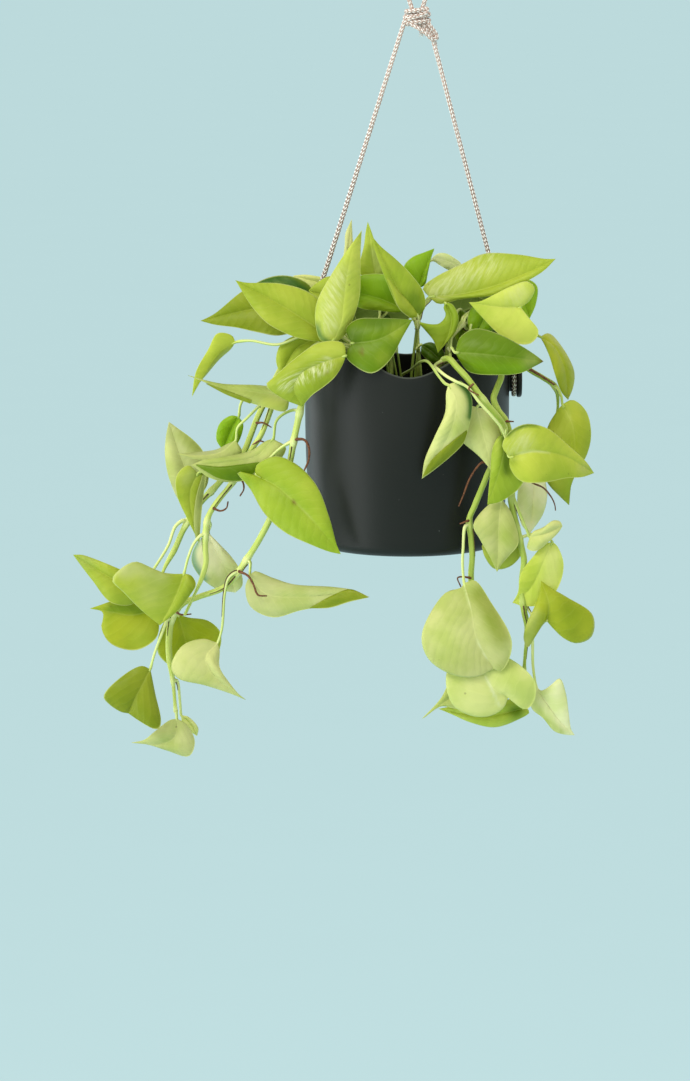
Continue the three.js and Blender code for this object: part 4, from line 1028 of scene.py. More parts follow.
crown_centre.leaf(
    "B7", "grass",
    petiole=[(9, 204, 20), (10, 216, 14)],
    midrib=[(11, 226, 10), (17, 244, 8), (24.4, 261.3, 4)],
    left=[(2, 231), (-3, 244), (4, 253), (16, 258)],
    right=[(16, 229), (19, 241), (21.5, 252)],
)
crown_centre.leaf(
    "B8", "chalk",
    petiole=[(11, 199, 16), (14, 208.5, 8), (20, 215, 0), (34, 232, -8)],
    midrib=[(50, 240, -8), (38, 249, -5), (25, 252, -2), (13.8, 246.4, 0)],
    left=[(48, 248), (42.4, 252.6), (35, 256.7), (28.5, 257), (24.5, 254.8), (20, 250)],
    right=[(44, 239), (40, 241), (35, 243), (28.4, 246.8), (23.6, 249.8), (18, 247.6)],
    belly=1,
)
# B9 is painted shade: a leaf given the darkest tone, deep among the others.
crown_centre.leaf(
    "B9", "shade",
    petiole=[(9, 172, 34)],
    midrib=[(13, 176, 41), (24, 168, 43), (30, 160, 44)],
    left=[(22, 178), (33, 169)],
    right=[(13, 168), (23, 160)],
)
crown_centre.leaf(
    "C1", "lime",
    petiole=[(12, 206, 30)],
    midrib=[(20, 218, 32), (50, 221, 39), (78, 228, 43), (105, 239, 45), (132, 252, 44)],
    left=[(14, 226), (24, 235), (50, 248), (68, 256.5), (98, 256), (123, 252)],
    right=[(28, 212), (47, 216), (78, 220), (100, 229), (121, 241)],
    lean=(-14, 6),
    patches=[([(28, 224), (50, 236)], 14, UNDERSIDES["dusty"], 0.4), ((112, 244), 14, TOPS["fresh"], 0.4),
             ([(24, 216), (36, 215)], 5, TOPS["moss"], 0.5)],
    marble=[([(26, 224), (50, 238), (74, 248)], 12, 0.4)],
)
crown_centre.young_stalk((2, -30, 127), (3, -31, 150), (8, -30, 196), radius=1.2)
crown_centre.young_stalk((12, -40, 127), (12, -38, 150), (10, -29, 176), radius=1.0)
crown_centre.young_stalk((-4, -52, 127), (-5, -54, 146), (-9, -58, 176), radius=0.9)
crown_centre.build()

# %% [markdown]
# ## The upper right tuft
# Leaves crowd at the right of the pot. One is folded, and a dark one lies flat over the rim. The folded one
# could be a flat leaf that is bent afterwards. Here its rib lies in the fold from the start, so both halves
# are ruled from it as on any other leaf.

# %% The upper right tuft
crown_right = Vine(
    "crown_right", root=(34, -32), radius=3,
    stem=[(37, 160, 40), (39, 181, 42), (50, 195, 36)],
)
crown_right.leaf(
    "C2", "lemon",
    petiole=[(54, 196, 27), (72, 203, 28), (90, 207, 42)],
    midrib=[(101, 209, 53), (85, 209, 57), (70, 211, 59), (55, 213.5, 60)],
    left=[(109, 215), (113.6, 226), (107, 232), (93, 228), (78, 220.5), (64, 214)],
    right=[(108, 200), (117, 187), (110, 177), (96, 177), (82, 185), (67, 200)],
    lean=(-6, 8), lobe=0.35,
    patches=[((100, 222), 10, UNDERSIDES["milky"], 0.5)],
    marble=[((96, 220), 12, 0.25)],
)
crown_right.leaf(
    "C3", "deep",
    petiole=[(39, 170, 54), (40, 173, 70)],
    midrib=[(43, 169, 83), (62, 168, 90), (90, 165, 94), (121.3, 161, 88)],
    left=[(47, 182), (60, 190), (80, 186), (103, 174), (115, 166)],
    right=[(48, 160), (56, 151.5), (80, 149), (101, 150.7), (114, 157)],
    lean=(-12, -2),
    # Painted shade darkens C3 near its base and upper edge; painted light brightens its lower edge.
    patches=[((60, 180), 18, TOPS["shade"], 0.4),
             ([(60, 155), (84, 152), (100, 154)], 9, TOPS["grass"], 0.55),
             ((110, 161), 10, UNDERSIDES["dusty"], 0.4), ((120.5, 161), 3, ROOT, 0.9)],
)
crown_right.leaf(
    "C4", "bright",
    petiole=[(50, 200, 28), (74, 216, 22)],
    midrib=[(96, 228, 22), (104, 214, 22), (109, 199, 20)],
    left=[(106, 234), (115.5, 228), (114.5, 212)],
    right=[(90, 222), (94, 210), (102, 202)],
)
crown_right.leaf(
    "C5", "fresh",
    petiole=[(38, 190, 40), (36, 204, 38)],
    midrib=[(34, 213, 44), (39.5, 200, 50), (37, 184, 54), (27.4, 168.5, 54)],
    left=[(32.5, 208.5), (34.5, 203), (32.5, 198), (27, 194), (18, 194.3), (10.1, 196.1), (16, 189),
          (23, 180.5), (26, 174)],
    right=[(40, 212), (45.8, 201), (44.5, 190), (35, 177)],
    lobe=0.05, belly=2.5,
)
# C6 has the deep tone as painted shade, for a leaf that lies in the shade of the others.
crown_right.leaf(
    "C6", "deep",
    petiole=[(42, 192, 36), (45, 206, 28)],
    midrib=[(48, 207, 24), (50, 190, 25), (46, 176, 26)],
    left=[(56, 202), (57, 188), (52, 180)],
    right=[(42, 202), (41, 188)],
)
crown_right.leaf(
    "C7", "grass",
    petiole=[(52, 200, 32), (64, 210, 30)],
    midrib=[(70, 212, 30), (68, 198, 34), (60, 184, 36)],
    left=[(82, 206), (80, 192), (70, 186)],
    right=[(57, 208), (54, 194)],
)
crown_right.leaf(
    "D6", "olive",
    petiole=[(53, 190, 27), (75, 194, 28), (104, 189, 40)],
    midrib=[(118, 183, 42), (130, 175, 42), (140, 155, 42), (143, 127, 36)],
    left=[(126, 186), (139, 172), (148.5, 152), (147.5, 138)],
    right=[(122, 176), (127, 164), (131.5, 149), (137, 134)],
    lean=(-14, 10),
)
crown_right.young_stalk((42, -44, 127), (47, -44, 160), (55, -44, 200), radius=1.2, tone=STALK)
crown_right.young_stalk((36, -58, 127), (36, -57, 152), (38, -45, 202), radius=1.3, tone=STALK)
crown_right.build()

# %% [markdown]
# ## The inner right trail
# This stem climbs out over the dip of the rim and hangs down in front of the pot. Several of its leaves
# have turned their pale undersides to the front. The stem could be a curve with a round bevel. A tube of
# points is used, because it can swell at each joint and keep a tint for each point.

# %% The inner right trail
vine_right_inner = Vine(
    "vine_right_inner", root=(16, -54), radius=2.9,
    stem=[(30, 158, 66), (37, 163.5, 80), (44.5, 156, 91), (52, 148, 98), (59, 139, 103), (66, 129, 105.5),
        (77, 116, 104), (84.5, 106, 98), (86.5, 95, 90), (83, 80, 85), (74, 66, 84), (67.6, 51, 84),
        (60, 32.5, 84), (55.5, 21, 84), (57, 5, 84), (58, -12, 84), (57, -30, 82), (60, -60, 78),
        (66, -90, 76), (70, -106, 75)],
)
vine_right_inner.leaf(
    "D1", "milky",
    petiole=[(-5, 147, 46), (4, 154, 55), (13, 161, 69), (19, 160.5, 80), (29, 147, 98), (34.5, 141, 103)],
    midrib=[(37, 140, 105), (44, 125, 111), (41, 105, 112), (31, 84, 106), (13.4, 57, 98)],
    left=[(35, 134), (34, 116), (25, 95), (16, 74)],
    right=[(47, 144), (57, 131), (57, 112), (50, 89), (39, 77), (22, 63)],
    lean=(-4, -8),
    patches=[([(47, 142), (54, 134), (57, 124), (56.5, 112)], 4.6, TEAL_PATCH, 1.0),
             ([(24, 76), (14, 60)], 8, UNDERSIDES["dusty"], 0.6)],
    turned=[([(53, 100), (44, 93), (31, 82.5), (20, 71), (14, 59)],
             [(53.5, 98), (50.5, 89), (39, 77), (24, 65), (14, 58.5)], "moss", 0.8)],
)
vine_right_inner.leaf(
    "D2", "milky",
    petiole=[(68, 128, 99), (66, 124, 94)],
    midrib=[(62, 120, 90), (66, 104, 95), (71, 84, 95), (75, 64, 92)],
    left=[(57, 121.5), (50, 108), (44, 94), (52, 87), (65, 76)],
    right=[(69, 119), (78, 109), (84, 98), (82, 82), (77, 70)],
    lean=(-4, -6),
    patches=[((80, 104), 9, TOPS["moss"], 0.35), ((64, 112), 9, UNDERSIDES["chalk"], 0.25)],
)
vine_right_inner.leaf(
    "D3", "fresh",
    petiole=[(88, 101, 97)],
    midrib=[(88, 97, 97), (85, 75, 101), (79, 54, 101), (71.5, 34, 97)],
    left=[(81, 94), (75.5, 82), (74, 62), (72.5, 46)],
    right=[(96, 92), (104, 74), (103, 53), (84, 37)],
    lean=(-2, -4),
    belly=0.8,
    # Painted shade darkens D3 along its fold; painted light brightens the strip left of the fold and its
    # right half.
    patches=[([(86, 96), (88, 80), (89, 64)], 6, TOPS["shade"], 0.75),
             ([(80, 90), (77, 66)], 4, TOPS["lemon"], 0.4), ((98, 66), 9, TOPS["lime"], 0.3)],
)
vine_right_inner.leaf(
    "D4", "apple",
    petiole=[(25, 157, 78), (28, 153.5, 88), (35, 148, 98), (44, 143, 105), (54, 138, 106), (64, 125, 110),
             (75, 113, 111), (83, 103, 108), (88, 92, 106)],
    midrib=[(91, 76, 110), (115, 81, 112), (140, 77, 105), (166, 62, 90)],
    left=[(84.5, 86), (90.5, 98), (105, 105.5), (124, 102), (145, 85), (160, 71)],
    right=[(91.5, 67), (101, 55), (122, 53.7), (142, 57.6), (156, 58.5)],
    lean=(0, 4),
    # Painted highlights: the pale patch near D4's base and the thin pale line on its midrib. Painted shade
    # darkens it under the midrib near its base.
    patches=[((103, 90), 11, UNDERSIDES["pale"], 0.45), ((158, 66), 9, UNDERSIDES["dusty"], 0.5),
             ((93, 73), 7, TOPS["deep"], 0.5), ((130, 92), 14, TOPS["lime"], 0.4),
             ([(99, 79.5), (112, 81.5), (126, 80)], 1.6, UNDERSIDES["chalk"], 0.35),
             ([(89, 95), (97, 101.5), (107, 105), (116, 105)], 2.6, DARK_PATCH, 0.8)],
    marble=[([(90, 84), (104, 92)], 9, 0.3)],
)
vine_right_inner.leaf(
    "E1", "pale",
    petiole=[(52, 15, 87), (50, -5, 89), (49.5, -20, 90)],
    midrib=[(51, -36, 92), (57, -59, 100), (62, -85, 102), (77, -111.5, 98)],
    left=[(47, -41), (36, -43), (22, -60), (13, -84), (20, -104), (44, -118), (64, -118)],
    right=[(60, -33), (75, -53), (93, -86), (90, -105), (83, -114)],
    # Painted shade darkens the upper right half of E1, beside its midrib.
    patches=[([(64, -46), (73, -60), (83, -82)], 12, TOPS["moss"], 0.68),
             ((32, -84), 24, UNDERSIDES["milky"], 0.7),
             ([(51, -40), (57, -60), (62, -85), (71, -103)], 1.4, UNDERSIDES["chalk"], 0.6)],
)
vine_right_inner.leaf(
    "E7", "pale",
    petiole=[(64, -112, 76)],
    midrib=[(60, -126, 80), (38, -138, 84), (13.4, -156, 84)],
    left=[(58, -114), (40, -121), (30, -138)],
    right=[(62, -140), (46, -147), (30, -145)],
)
vine_right_inner.aerial_root((74, 68, 87), (67.6, 71.7, 88), (56.7, 58.6, 86), (50, 42, 84), (46, 32.5, 83))
vine_right_inner.aerial_root((55, 20, 86), (50, 18, 89), (47, 17, 89))
vine_right_inner.aerial_root((57, -31, 84), (48, -30, 86), (45, -31, 87), (48, -39, 87), radius=0.8)
vine_right_inner.aerial_root((59, 141, 104), (55, 136.5, 108), (64, 131, 110), radius=0.8)
vine_right_inner.build()

# %% [markdown]
# ## The outer right trail
# A second stem runs beside the first and carries the leaves at the far right and at the bottom. A hanging
# stem could be found by simulation, but this one's route is known, so a smooth curve goes through places
# that were measured along it.

# %% The outer right trail
vine_right_outer = Vine(
    "vine_right_outer", root=(56, -36), radius=2.9,
    stem=[(62, 162, 44), (71, 171.5, 54), (82, 162, 62), (84, 149, 68), (79, 135, 72), (77, 128, 74),
        (81, 118, 78), (88, 108, 80), (92, 90, 79), (94, 60, 80), (93, 36, 84), (97, 15, 86), (102, -5, 88),
        (104, -15, 88), (102, -35, 88), (104, -60, 88), (107, -75, 84), (105, -98, 80), (104, -114, 76)],
)
vine_right_outer.leaf(
    "D8", "pale",
    petiole=[(91, 52, 82)],
    midrib=[(84, 39, 88), (82, 20, 93), (81, -2, 94), (80, -25.7, 90)],
    left=[(74, 35), (59, 16), (65, 3), (73, -11)],
    right=[(91.5, 29), (99, 0), (91, -11), (84, -19)],
    patches=[((90, 4), 13, TOPS["fresh"], 0.4), ((70, 18), 10, UNDERSIDES["milky"], 0.35)],
)
vine_right_outer.leaf(
    "D9", "sunny",
    petiole=[(97, 12, 82)],
    midrib=[(97, 4, 80), (88, -5, 81), (66.5, -3, 81)],
    left=[(103, -6), (93, -20), (78, -23), (69, -12)],
    right=[(92, 12), (80, 10), (70, 4)],
)
vine_right_outer.leaf(
    "D10", "milky",
    petiole=[(94, 40, 84), (101, 24, 88), (107, 10, 90)],
    midrib=[(109, 5, 91), (122, 8, 95), (138, 15, 92)],
    left=[(112, 10), (121, 14), (130, 20), (136, 19)],
    right=[(107, -5), (115, -7), (127, 2), (135, 10)],
)
vine_right_outer.leaf(
    "E5", "lemon",
    petiole=[(100, 4, 86), (115, 8, 82)],
    midrib=[(129, 1, 86), (121, -18, 91), (110, -40, 92), (93.7, -53, 86)],
    left=[(122, -1), (112, -12), (101, -27), (98.5, -44)],
    right=[(133, -2), (139, -18), (135, -38), (122, -54), (104, -56)],
    belly=1,
    patches=[([(130, -12), (126, -34)], 11, UNDERSIDES["milky"], 0.7),
             ([(108, -16), (104, -36)], 8, TOPS["apple"], 0.4)],
)
vine_right_outer.leaf(
    "E6", "olive",
    petiole=[(104, -52, 87), (113, -66, 89)],
    midrib=[(124, -69, 96), (126, -54, 103), (119, -33.4, 100)],
    left=[(130, -76), (140, -85), (151, -89), (164, -83), (165, -64), (142, -48), (130, -41)],
    right=[(118, -76), (112, -86), (107, -93), (103.5, -84), (107, -70), (113, -57), (118, -43)],
    lean=(-12, -2),
    patches=[([(107, -88), (113, -64)], 8, UNDERSIDES["dusty"], 0.6), ((142, -58), 12, TOPS["moss"], 0.5),
             ((148, -80), 10, TOPS["moss"], 0.5), ((126, -50), 9, TOPS["lime"], 0.5)],
)
vine_right_outer.leaf(
    "E4", "ivory",
    petiole=[(110, -80, 82), (112, -110, 78)],
    midrib=[(115, -128, 78), (124, -142, 80), (136, -158, 78), (149, -170.5, 72)],
    left=[(122, -132), (135.5, -120), (141, -133), (143.5, -150), (146, -166)],
    right=[(110, -138), (111, -147), (120.5, -155), (131, -167), (141, -170)],
    lean=(8, -4),
    patches=[([(112, -142), (122, -156), (136, -168)], 6, TOPS["lime"], 0.6),
             ((118, -132), 8, UNDERSIDES["pale"], 0.4)],
)
vine_right_outer.leaf(
    "E2", "milky",
    petiole=[(100, -120, 78)],
    midrib=[(90, -136, 88), (78, -130, 93), (68, -116, 93), (60, -98, 88)],
    left=[(86, -146), (74, -153.5), (58, -153.5), (42, -145), (35, -128), (38, -108)],
    right=[(93, -136), (98, -144), (106, -147.5), (113, -140), (114, -124), (100, -108), (80, -98)],
    patches=[([(70, -119), (76, -131), (82, -145)], 1.8, UNDERSIDES["chalk"], 0.8)],
)
vine_right_outer.leaf(
    "E3", "lemon",
    petiole=[(108, -130, 68)],
    midrib=[(106, -146, 64), (80, -152, 70), (54, -152, 73), (28, -147, 76)],
    left=[(109, -150), (98, -157), (78, -163.5), (56, -159), (40, -152)],
    right=[(100, -138), (84, -140), (60, -143), (40, -145)],
    patches=[((97, -149), 10, TOPS["deep"], 0.9), ((60, -155), 14, TOPS["apple"], 0.3)],
)
vine_right_outer.aerial_root(
    (94, 60, 82), (104, 57, 84), (112.8, 52.7, 84), (121, 49, 84), (128.6, 40, 82), (131.3, 33.6, 80),
    (131.9, 28.7, 79), radius=0.8,
)
vine_right_outer.aerial_root((88, 108, 82), (94.8, 107.7, 86))
vine_right_outer.build()

# %% [markdown]
# ## The right trail behind
# A thinner stem leaves the pot above the knob and hangs beside it. How deep it lies can't be measured from
# the front. It could be placed anywhere behind what covers it, and it stays close, as such stems do.

# %% The right trail behind
vine_right_back = Vine(
    "vine_right_back", root=(64, -10), radius=2.4,
    stem=[(72, 166, 22), (82, 174, 34), (94, 166, 42), (109, 153.5, 46), (120, 147, 46), (131, 139, 44),
        (134, 122, 32), (130, 100, 26)],
)
vine_right_back.leaf(
    "D5", "apple",
    petiole=[(132.5, 139, 46), (137, 130, 48)],
    midrib=[(138, 123, 49), (147, 104, 60), (149, 80, 62), (146, 55, 58), (144, 33.5, 48)],
    left=[(134, 118), (125, 103), (121, 78), (124, 55), (136, 41)],
    right=[(147, 127), (159, 117), (163.5, 97), (160, 79), (149, 59), (143.5, 43)],
    lean=(-16, -8),
    patches=[([(153, 112), (155, 92), (151, 70)], 11, TOPS["olive"], 0.5),
             ((130, 94), 8, TOPS["sunny"], 0.5)],
)
vine_right_back.leaf(
    "D7", "ivory",
    petiole=[(126, 86, 30), (118, 74, 42)],
    midrib=[(112, 62, 50), (112, 40, 56), (109, 8, 52)],
    left=[(120, 60), (124.5, 44), (121, 26)],
    right=[(102, 58), (98, 36), (102, 16)],
)
vine_right_back.aerial_root((104, 157, 48), (118, 149, 50), (131, 140.5, 49), radius=1.1)
vine_right_back.build()

# %% [markdown]
# ## The long left trail
# The longest stem swings out to the left and ends in the small leaves at the lowest point. Brown aerial
# roots grow from its joints. They could be hairs, but they are thick enough to be seen from every side, so
# each is a thin tube.

# %% The long left trail
vine_left_long = Vine(
    "vine_left_long", root=(-54, -30), radius=3,
    stem=[(-62, 160, 44), (-71, 171.5, 55), (-82, 160, 64), (-90, 140, 65), (-93.6, 122, 64),
        (-97, 106, 63), (-100, 92, 61), (-104, 70, 50), (-111, 46, 42), (-122, 20, 36), (-132, 1, 31),
        (-141.5, -14, 27), (-149, -25, 24), (-161.5, -39, 20), (-185, -48, 16), (-199, -54, 13),
        (-208, -66, 11), (-210.8, -84, 9), (-210.6, -101, 8), (-207.5, -122, 8), (-205, -149, 8)],
)
vine_left_long.leaf(
    "F4", "dusty",
    petiole=[(-100, 118, 55), (-110, 114, 53), (-116, 107.5, 51)],
    midrib=[(-118.5, 92, 50), (-134, 77, 51), (-160, 72, 52), (-191, 69, 47)],
    left=[(-124, 91), (-138, 82), (-157, 77.5), (-180, 74)],
    right=[(-107, 85), (-114, 72), (-134, 61), (-153, 54), (-173, 57)],
    lean=(-7, 0),
    patches=[([(-112, 86), (-126, 80)], 9, UNDERSIDES["milky"], 0.6)],
    turned=[([(-187, 69.5), (-166, 67.7), (-148, 69.5), (-131, 71.8)],
             [(-187, 69), (-178.5, 63.6), (-166, 56.6), (-148, 54.6), (-137, 60), (-131, 68.5)],
             "deep", 0.6)],
)
vine_left_long.leaf(
    "F6", "fresh",
    petiole=[(-101, 90, 60), (-112, 84, 58), (-126, 70, 58)],
    midrib=[(-134, 60, 60), (-115, 50, 67), (-95, 32, 76), (-80, 16, 81), (-58.4, -9.9, 84)],
    left=[(-134, 68), (-117, 77), (-98, 70), (-80, 51), (-68.5, 22), (-62, -2)],
    right=[(-142, 62), (-150.7, 63), (-139, 48), (-127, 27), (-109, 10), (-84, -2), (-68, -8)],
    lean=(-4, -2),
    patches=[((-134, 62), 8, TOPS["olive"], 0.4),
             ([(-124, 54), (-96, 33), (-76, 12)], 1.5, UNDERSIDES["pale"], 0.2),
             ([(-88, 52), (-74, 26)], 9, TOPS["apple"], 0.35), ((-100, 36), 2.2, ROOT, 0.7)],
)
vine_left_long.leaf(
    "G3", "silver",
    petiole=[(-139, -17, 30), (-139, -24, 31)],
    midrib=[(-139, -30, 33), (-125, -45, 42), (-95, -48, 57), (-65, -46, 69), (-33, -48, 79)],
    left=[(-136, -25), (-118.5, -31), (-101, -36.5), (-65, -39), (-46, -42)],
    right=[(-143, -37), (-139, -56), (-119, -66), (-95, -60), (-74, -56), (-50, -50.5)],
    turned=[([(-86, -57.4), (-67, -47), (-50, -41), (-34, -48)],
             [(-86, -58), (-68, -57.4), (-51, -52.3), (-34, -48.3)], "moss", 0.6)],
)
vine_left_long.leaf(
    "G2", "pale",
    petiole=[(-152, -26, 26), (-158, -31, 26), (-161.5, -45, 24), (-164, -76, 20)],
    midrib=[(-168, -89, 20), (-178, -102, 27), (-170, -118, 28), (-143, -139, 20)],
    left=[(-180, -85), (-199, -91), (-209, -110), (-203, -120), (-180, -126), (-158, -133)],
    right=[(-166, -95), (-166, -110), (-158, -123), (-149, -134)],
)
vine_left_long.leaf(
    "G9", "olive",
    petiole=[(-205, -60, 7)],
    midrib=[(-203, -63, 2), (-198, -80, -4), (-192, -104, -10), (-188, -122, -14)],
    left=[(-212, -66), (-220, -82), (-220.5, -98), (-206, -112)],
    right=[(-194, -66), (-176, -69), (-165, -80), (-168, -100), (-180, -115)],
)
vine_left_long.leaf(
    "G10", "moss",
    petiole=[(-212, -68, 15), (-217, -80, 18), (-224, -99, 20)],
    midrib=[(-227.5, -112, 20), (-234.6, -126, 26), (-241, -138, 28), (-247, -151, 24)],
    left=[(-235, -109), (-251, -117), (-269, -136), (-264, -143), (-253, -150)],
    right=[(-227, -114), (-223, -134), (-218, -157), (-219.5, -164.5), (-224, -165), (-237, -158)],
)
vine_left_long.leaf(
    "G11", "silver",
    petiole=[(-204.6, -150, 8)],
    midrib=[(-204, -156, 8), (-206, -172, 14), (-218, -178, 14), (-244, -177, 6)],
    left=[(-210, -157), (-224, -167.5), (-233, -174.5)],
    right=[(-196, -160), (-188, -176), (-193, -189), (-213, -184), (-232, -178)],
)
vine_left_long.leaf(
    "G12", "milky",
    petiole=[(-204, -122, 5), (-201, -143, 3)],
    midrib=[(-200, -153, 2), (-192, -160, 0), (-186, -171, -2)],
    left=[(-194, -154), (-185, -164)],
    right=[(-199, -161), (-191, -168)],
)
vine_left_long.aerial_root(
    (-99, 92, 63), (-91, 91.5, 66), (-87, 85, 67), (-87, 74, 66), (-91, 64, 64), radius=1.1,
)
vine_left_long.aerial_root(
    (-149, -25, 27), (-141, -29, 36), (-136, -37, 47), (-132, -46, 50), (-124, -47, 50), radius=1.0,
)
vine_left_long.aerial_root((-205, -61, 14), (-200, -63.5, 19), (-191, -63, 19))
vine_left_long.build()

# %% [markdown]
# ## The outer left trail
# This stem runs above the long one, and some of its leaves are seen almost from their edge. Such a leaf
# could be drawn as a sliver, but its halves lean steeply instead, which gives it some of its real width.

# %% The outer left trail
vine_left_outer = Vine(
    "vine_left_outer", root=(-66, -4), radius=2.6,
    stem=[(-73, 160, 18), (-82, 174, 27), (-95, 166, 33), (-110, 146, 40), (-120, 120, 42), (-125, 106, 42),
        (-129.5, 95.5, 40), (-137, 84, 35), (-146, 68, 31), (-155, 53, 30), (-165.5, 40, 30),
        (-172, 31, 30), (-176.5, 22, 30), (-178.5, 8, 30), (-178.6, -7, 29), (-178, -16, 28),
        (-182, -31.5, 27), (-188.5, -46, 26), (-197, -64, 21)],
)
vine_left_outer.leaf(
    "F3", "dusty",
    petiole=[(-122, 132, 43), (-130.6, 122, 43), (-141.5, 111, 42), (-150, 102, 40)],
    midrib=[(-151.5, 91, 36), (-165, 80, 33), (-185, 77, 30), (-204, 79, 25)],
    left=[(-159, 88), (-169, 83), (-187, 80.5)],
    right=[(-146, 80), (-159, 75), (-182, 73.5)],
    lean=(-24, 5),
)
vine_left_outer.leaf(
    "F7", "lime",
    petiole=[(-158, 58, 28), (-172, 64, 27)],
    midrib=[(-185, 62, 26), (-192, 46, 30), (-190, 22, 30), (-184, 0, 26)],
    left=[(-194, 69), (-204, 60), (-204, 43), (-195, 22)],
    right=[(-182, 65), (-179, 56), (-181, 38), (-183, 18)],
    lean=(2, -7), belly=1.5,
    patches=[([(-188, 64), (-196, 56)], 7, UNDERSIDES["dusty"], 0.5)],
    turned=[([(-181, 61), (-187, 40), (-189, 18), (-187, 2)],
             [(-177.5, 60), (-181, 38), (-183, 16), (-184, 1)], "dusty", 0.8)],
)
vine_left_outer.leaf(
    "G4", "ivory",
    petiole=[(-176, 20, 22), (-174, 16, 14)],
    midrib=[(-176, 9, 9), (-168, -10, 8), (-159, -26, 6), (-152, -44, 2)],
    left=[(-186, 0), (-191, -15), (-184, -29), (-168, -41)],
    right=[(-168, 1), (-155, -13), (-147, -26), (-146, -38)],
    patches=[([(-160, -8), (-152, -30)], 9, TOPS["lime"], 0.35), ((-172, -34), 8, TOPS["lime"], 0.3),
             ([(-185, 4), (-190, -8), (-188, -20), (-180, -32)], 5, GREY_TEAL_PATCH, 0.95)],
)
vine_left_outer.leaf(
    "G5", "lime",
    petiole=[(-182, 7, 32), (-188.5, 0, 34), (-193.6, -12, 35)],
    midrib=[(-197.5, -27, 35), (-203, -43, 41), (-210, -58, 42), (-219, -73, 38)],
    left=[(-205, -27.5), (-223, -24.5), (-240, -16.5), (-254, -23), (-261.5, -33), (-252, -43),
          (-236, -59)],
    right=[(-191, -29), (-187, -37), (-192, -46), (-203, -60)],
    patches=[([(-250, -24), (-238, -22), (-218, -29)], 10, UNDERSIDES["silver"], 0.75),
             ([(-190, -30), (-189, -42)], 6, TOPS["moss"], 0.6),
             ((-226, -42), 20, UNDERSIDES["dusty"], 0.5)],
)
vine_left_outer.aerial_root((-172, 31, 32), (-165, 28.5, 34), (-160, 31, 34), (-158.5, 37, 33))
vine_left_outer.aerial_root((-152, 58, 31), (-146, 55, 33), (-144.5, 48, 33), (-148, 41.5, 32))
vine_left_outer.aerial_root((-133.5, 106.5, 43), (-127, 106.5, 47), (-120, 102.5, 46))
vine_left_outer.aerial_root((-136, 87, 37), (-131, 90.5, 41), (-125, 89, 41))
vine_left_outer.build()

# %% [markdown]
# ## The left trail behind
# The last measured stem passes behind the others and carries the leaves at the far left. What the others
# hide of it could be left out, but it shows from the side and from behind, so it is built from its root on.

# %% The left trail behind
vine_left_back = Vine(
    "vine_left_back", root=(-60, 22), radius=3,
    stem=[(-72, 170, -28), (-83, 181, -29), (-98, 172, -24), (-112, 154, -10), (-120, 138, 2),
        (-127, 123, 10), (-133, 110, 13), (-139, 94, 14), (-145, 80, 14), (-165, 55, 12), (-186, 32, 9),
        (-198, 12, 7), (-206, -6, 6), (-216, -25, 3), (-220, -46, 1)],
)
vine_left_back.leaf(
    "F2", "grass",
    petiole=[(-122, 136, 4), (-136, 137, 8), (-147, 124, 9)],
    midrib=[(-149, 112, 7), (-156, 100, 5), (-163, 82, 1)],
    left=[(-156, 113), (-166, 106), (-169, 92)],
    right=[(-145, 105), (-149, 90), (-156, 82)],
)
vine_left_back.leaf(
    "F5", "silver",
    petiole=[(-172, 44, 12)],
    midrib=[(-183, 41, 6), (-198, 70, 4), (-211, 107.5, -4)],
    left=[(-198, 34), (-210, 55), (-214.5, 78), (-213.5, 95)],
    right=[(-176, 55), (-180, 80), (-190, 92), (-202, 101)],
    patches=[([(-184, 84), (-196, 96)], 9, TOPS["moss"], 0.4),
             ([(-208, 60), (-212, 84)], 7, UNDERSIDES["milky"], 0.5)],
)
vine_left_back.leaf(
    "G6", "lime",
    petiole=[(-198, 20, 10), (-205, 15, 12), (-211.5, -2, 16), (-223, -21, 18), (-232, -34, 16)],
    midrib=[(-238, -42, 16), (-262, -31, 18), (-296, -10.4, 8)],
    left=[(-240, -30), (-255, -23), (-277, -14), (-288, -10.5)],
    right=[(-243, -54), (-262, -53), (-279, -33), (-289, -20)],
    patches=[((-285, -14), 12, UNDERSIDES["dusty"], 0.5), ((-245, -45), 12, TOPS["fresh"], 0.5)],
)
vine_left_back.leaf(
    "G8", "olive",
    petiole=[(-221, -54, 3)],
    midrib=[(-225, -60, 6), (-245, -64, 10), (-262, -61, 9), (-281, -58, 3)],
    left=[(-229, -52), (-245, -49.5), (-260, -51), (-272, -55)],
    right=[(-220, -70), (-222, -84), (-240, -95), (-263, -89), (-271, -74), (-267, -62)],
    belly=2,
    patches=[([(-262, -58), (-248, -58), (-236, -60)], 7, TOPS["deep"], 0.7),
             ((-235, -85), 16, TOPS["apple"], 0.5)],
)
vine_left_back.build()

# %% [markdown]
# ## The back of the plant
# The front hides the stems at the back, so nothing could be measured there. A plant like this one grows
# all round its pot, so the same heart shape is laid out by rule on three more stems.

# %% A leaf by rule
DROOP = 6


def heart(name, look, petiole, base, tip, width, lean):
    """A leaf of the same kind that is laid out by rule. Its glossy top faces the back, and its underside, to
    the front, has the dim tone as painted shade.
    """
    dx, dy = tip[0] - base[0], tip[1] - base[1]
    size = math.hypot(dx, dy)

    def at(onward, aside):
        return (base[0] + dx * onward - dy / size * aside * width,
                base[1] + dy * onward + dx / size * aside * width)

    outline = [(-0.1, 0.22), (-0.02, 0.42), (0.25, 0.5), (0.55, 0.36), (0.82, 0.13)]
    return dict(
        # The front face, the underside, takes the dim tone: painted shade.
        name=name, look="dim", behind=TOPS[look], petiole=petiole,
        midrib=[base, (*at(0.45, 0), (base[2] + tip[2]) / 2 - DROOP), tip],
        left=[at(onward, aside) for onward, aside in outline],
        right=[at(onward, -aside) for onward, aside in outline], lean=lean, belly=-3)


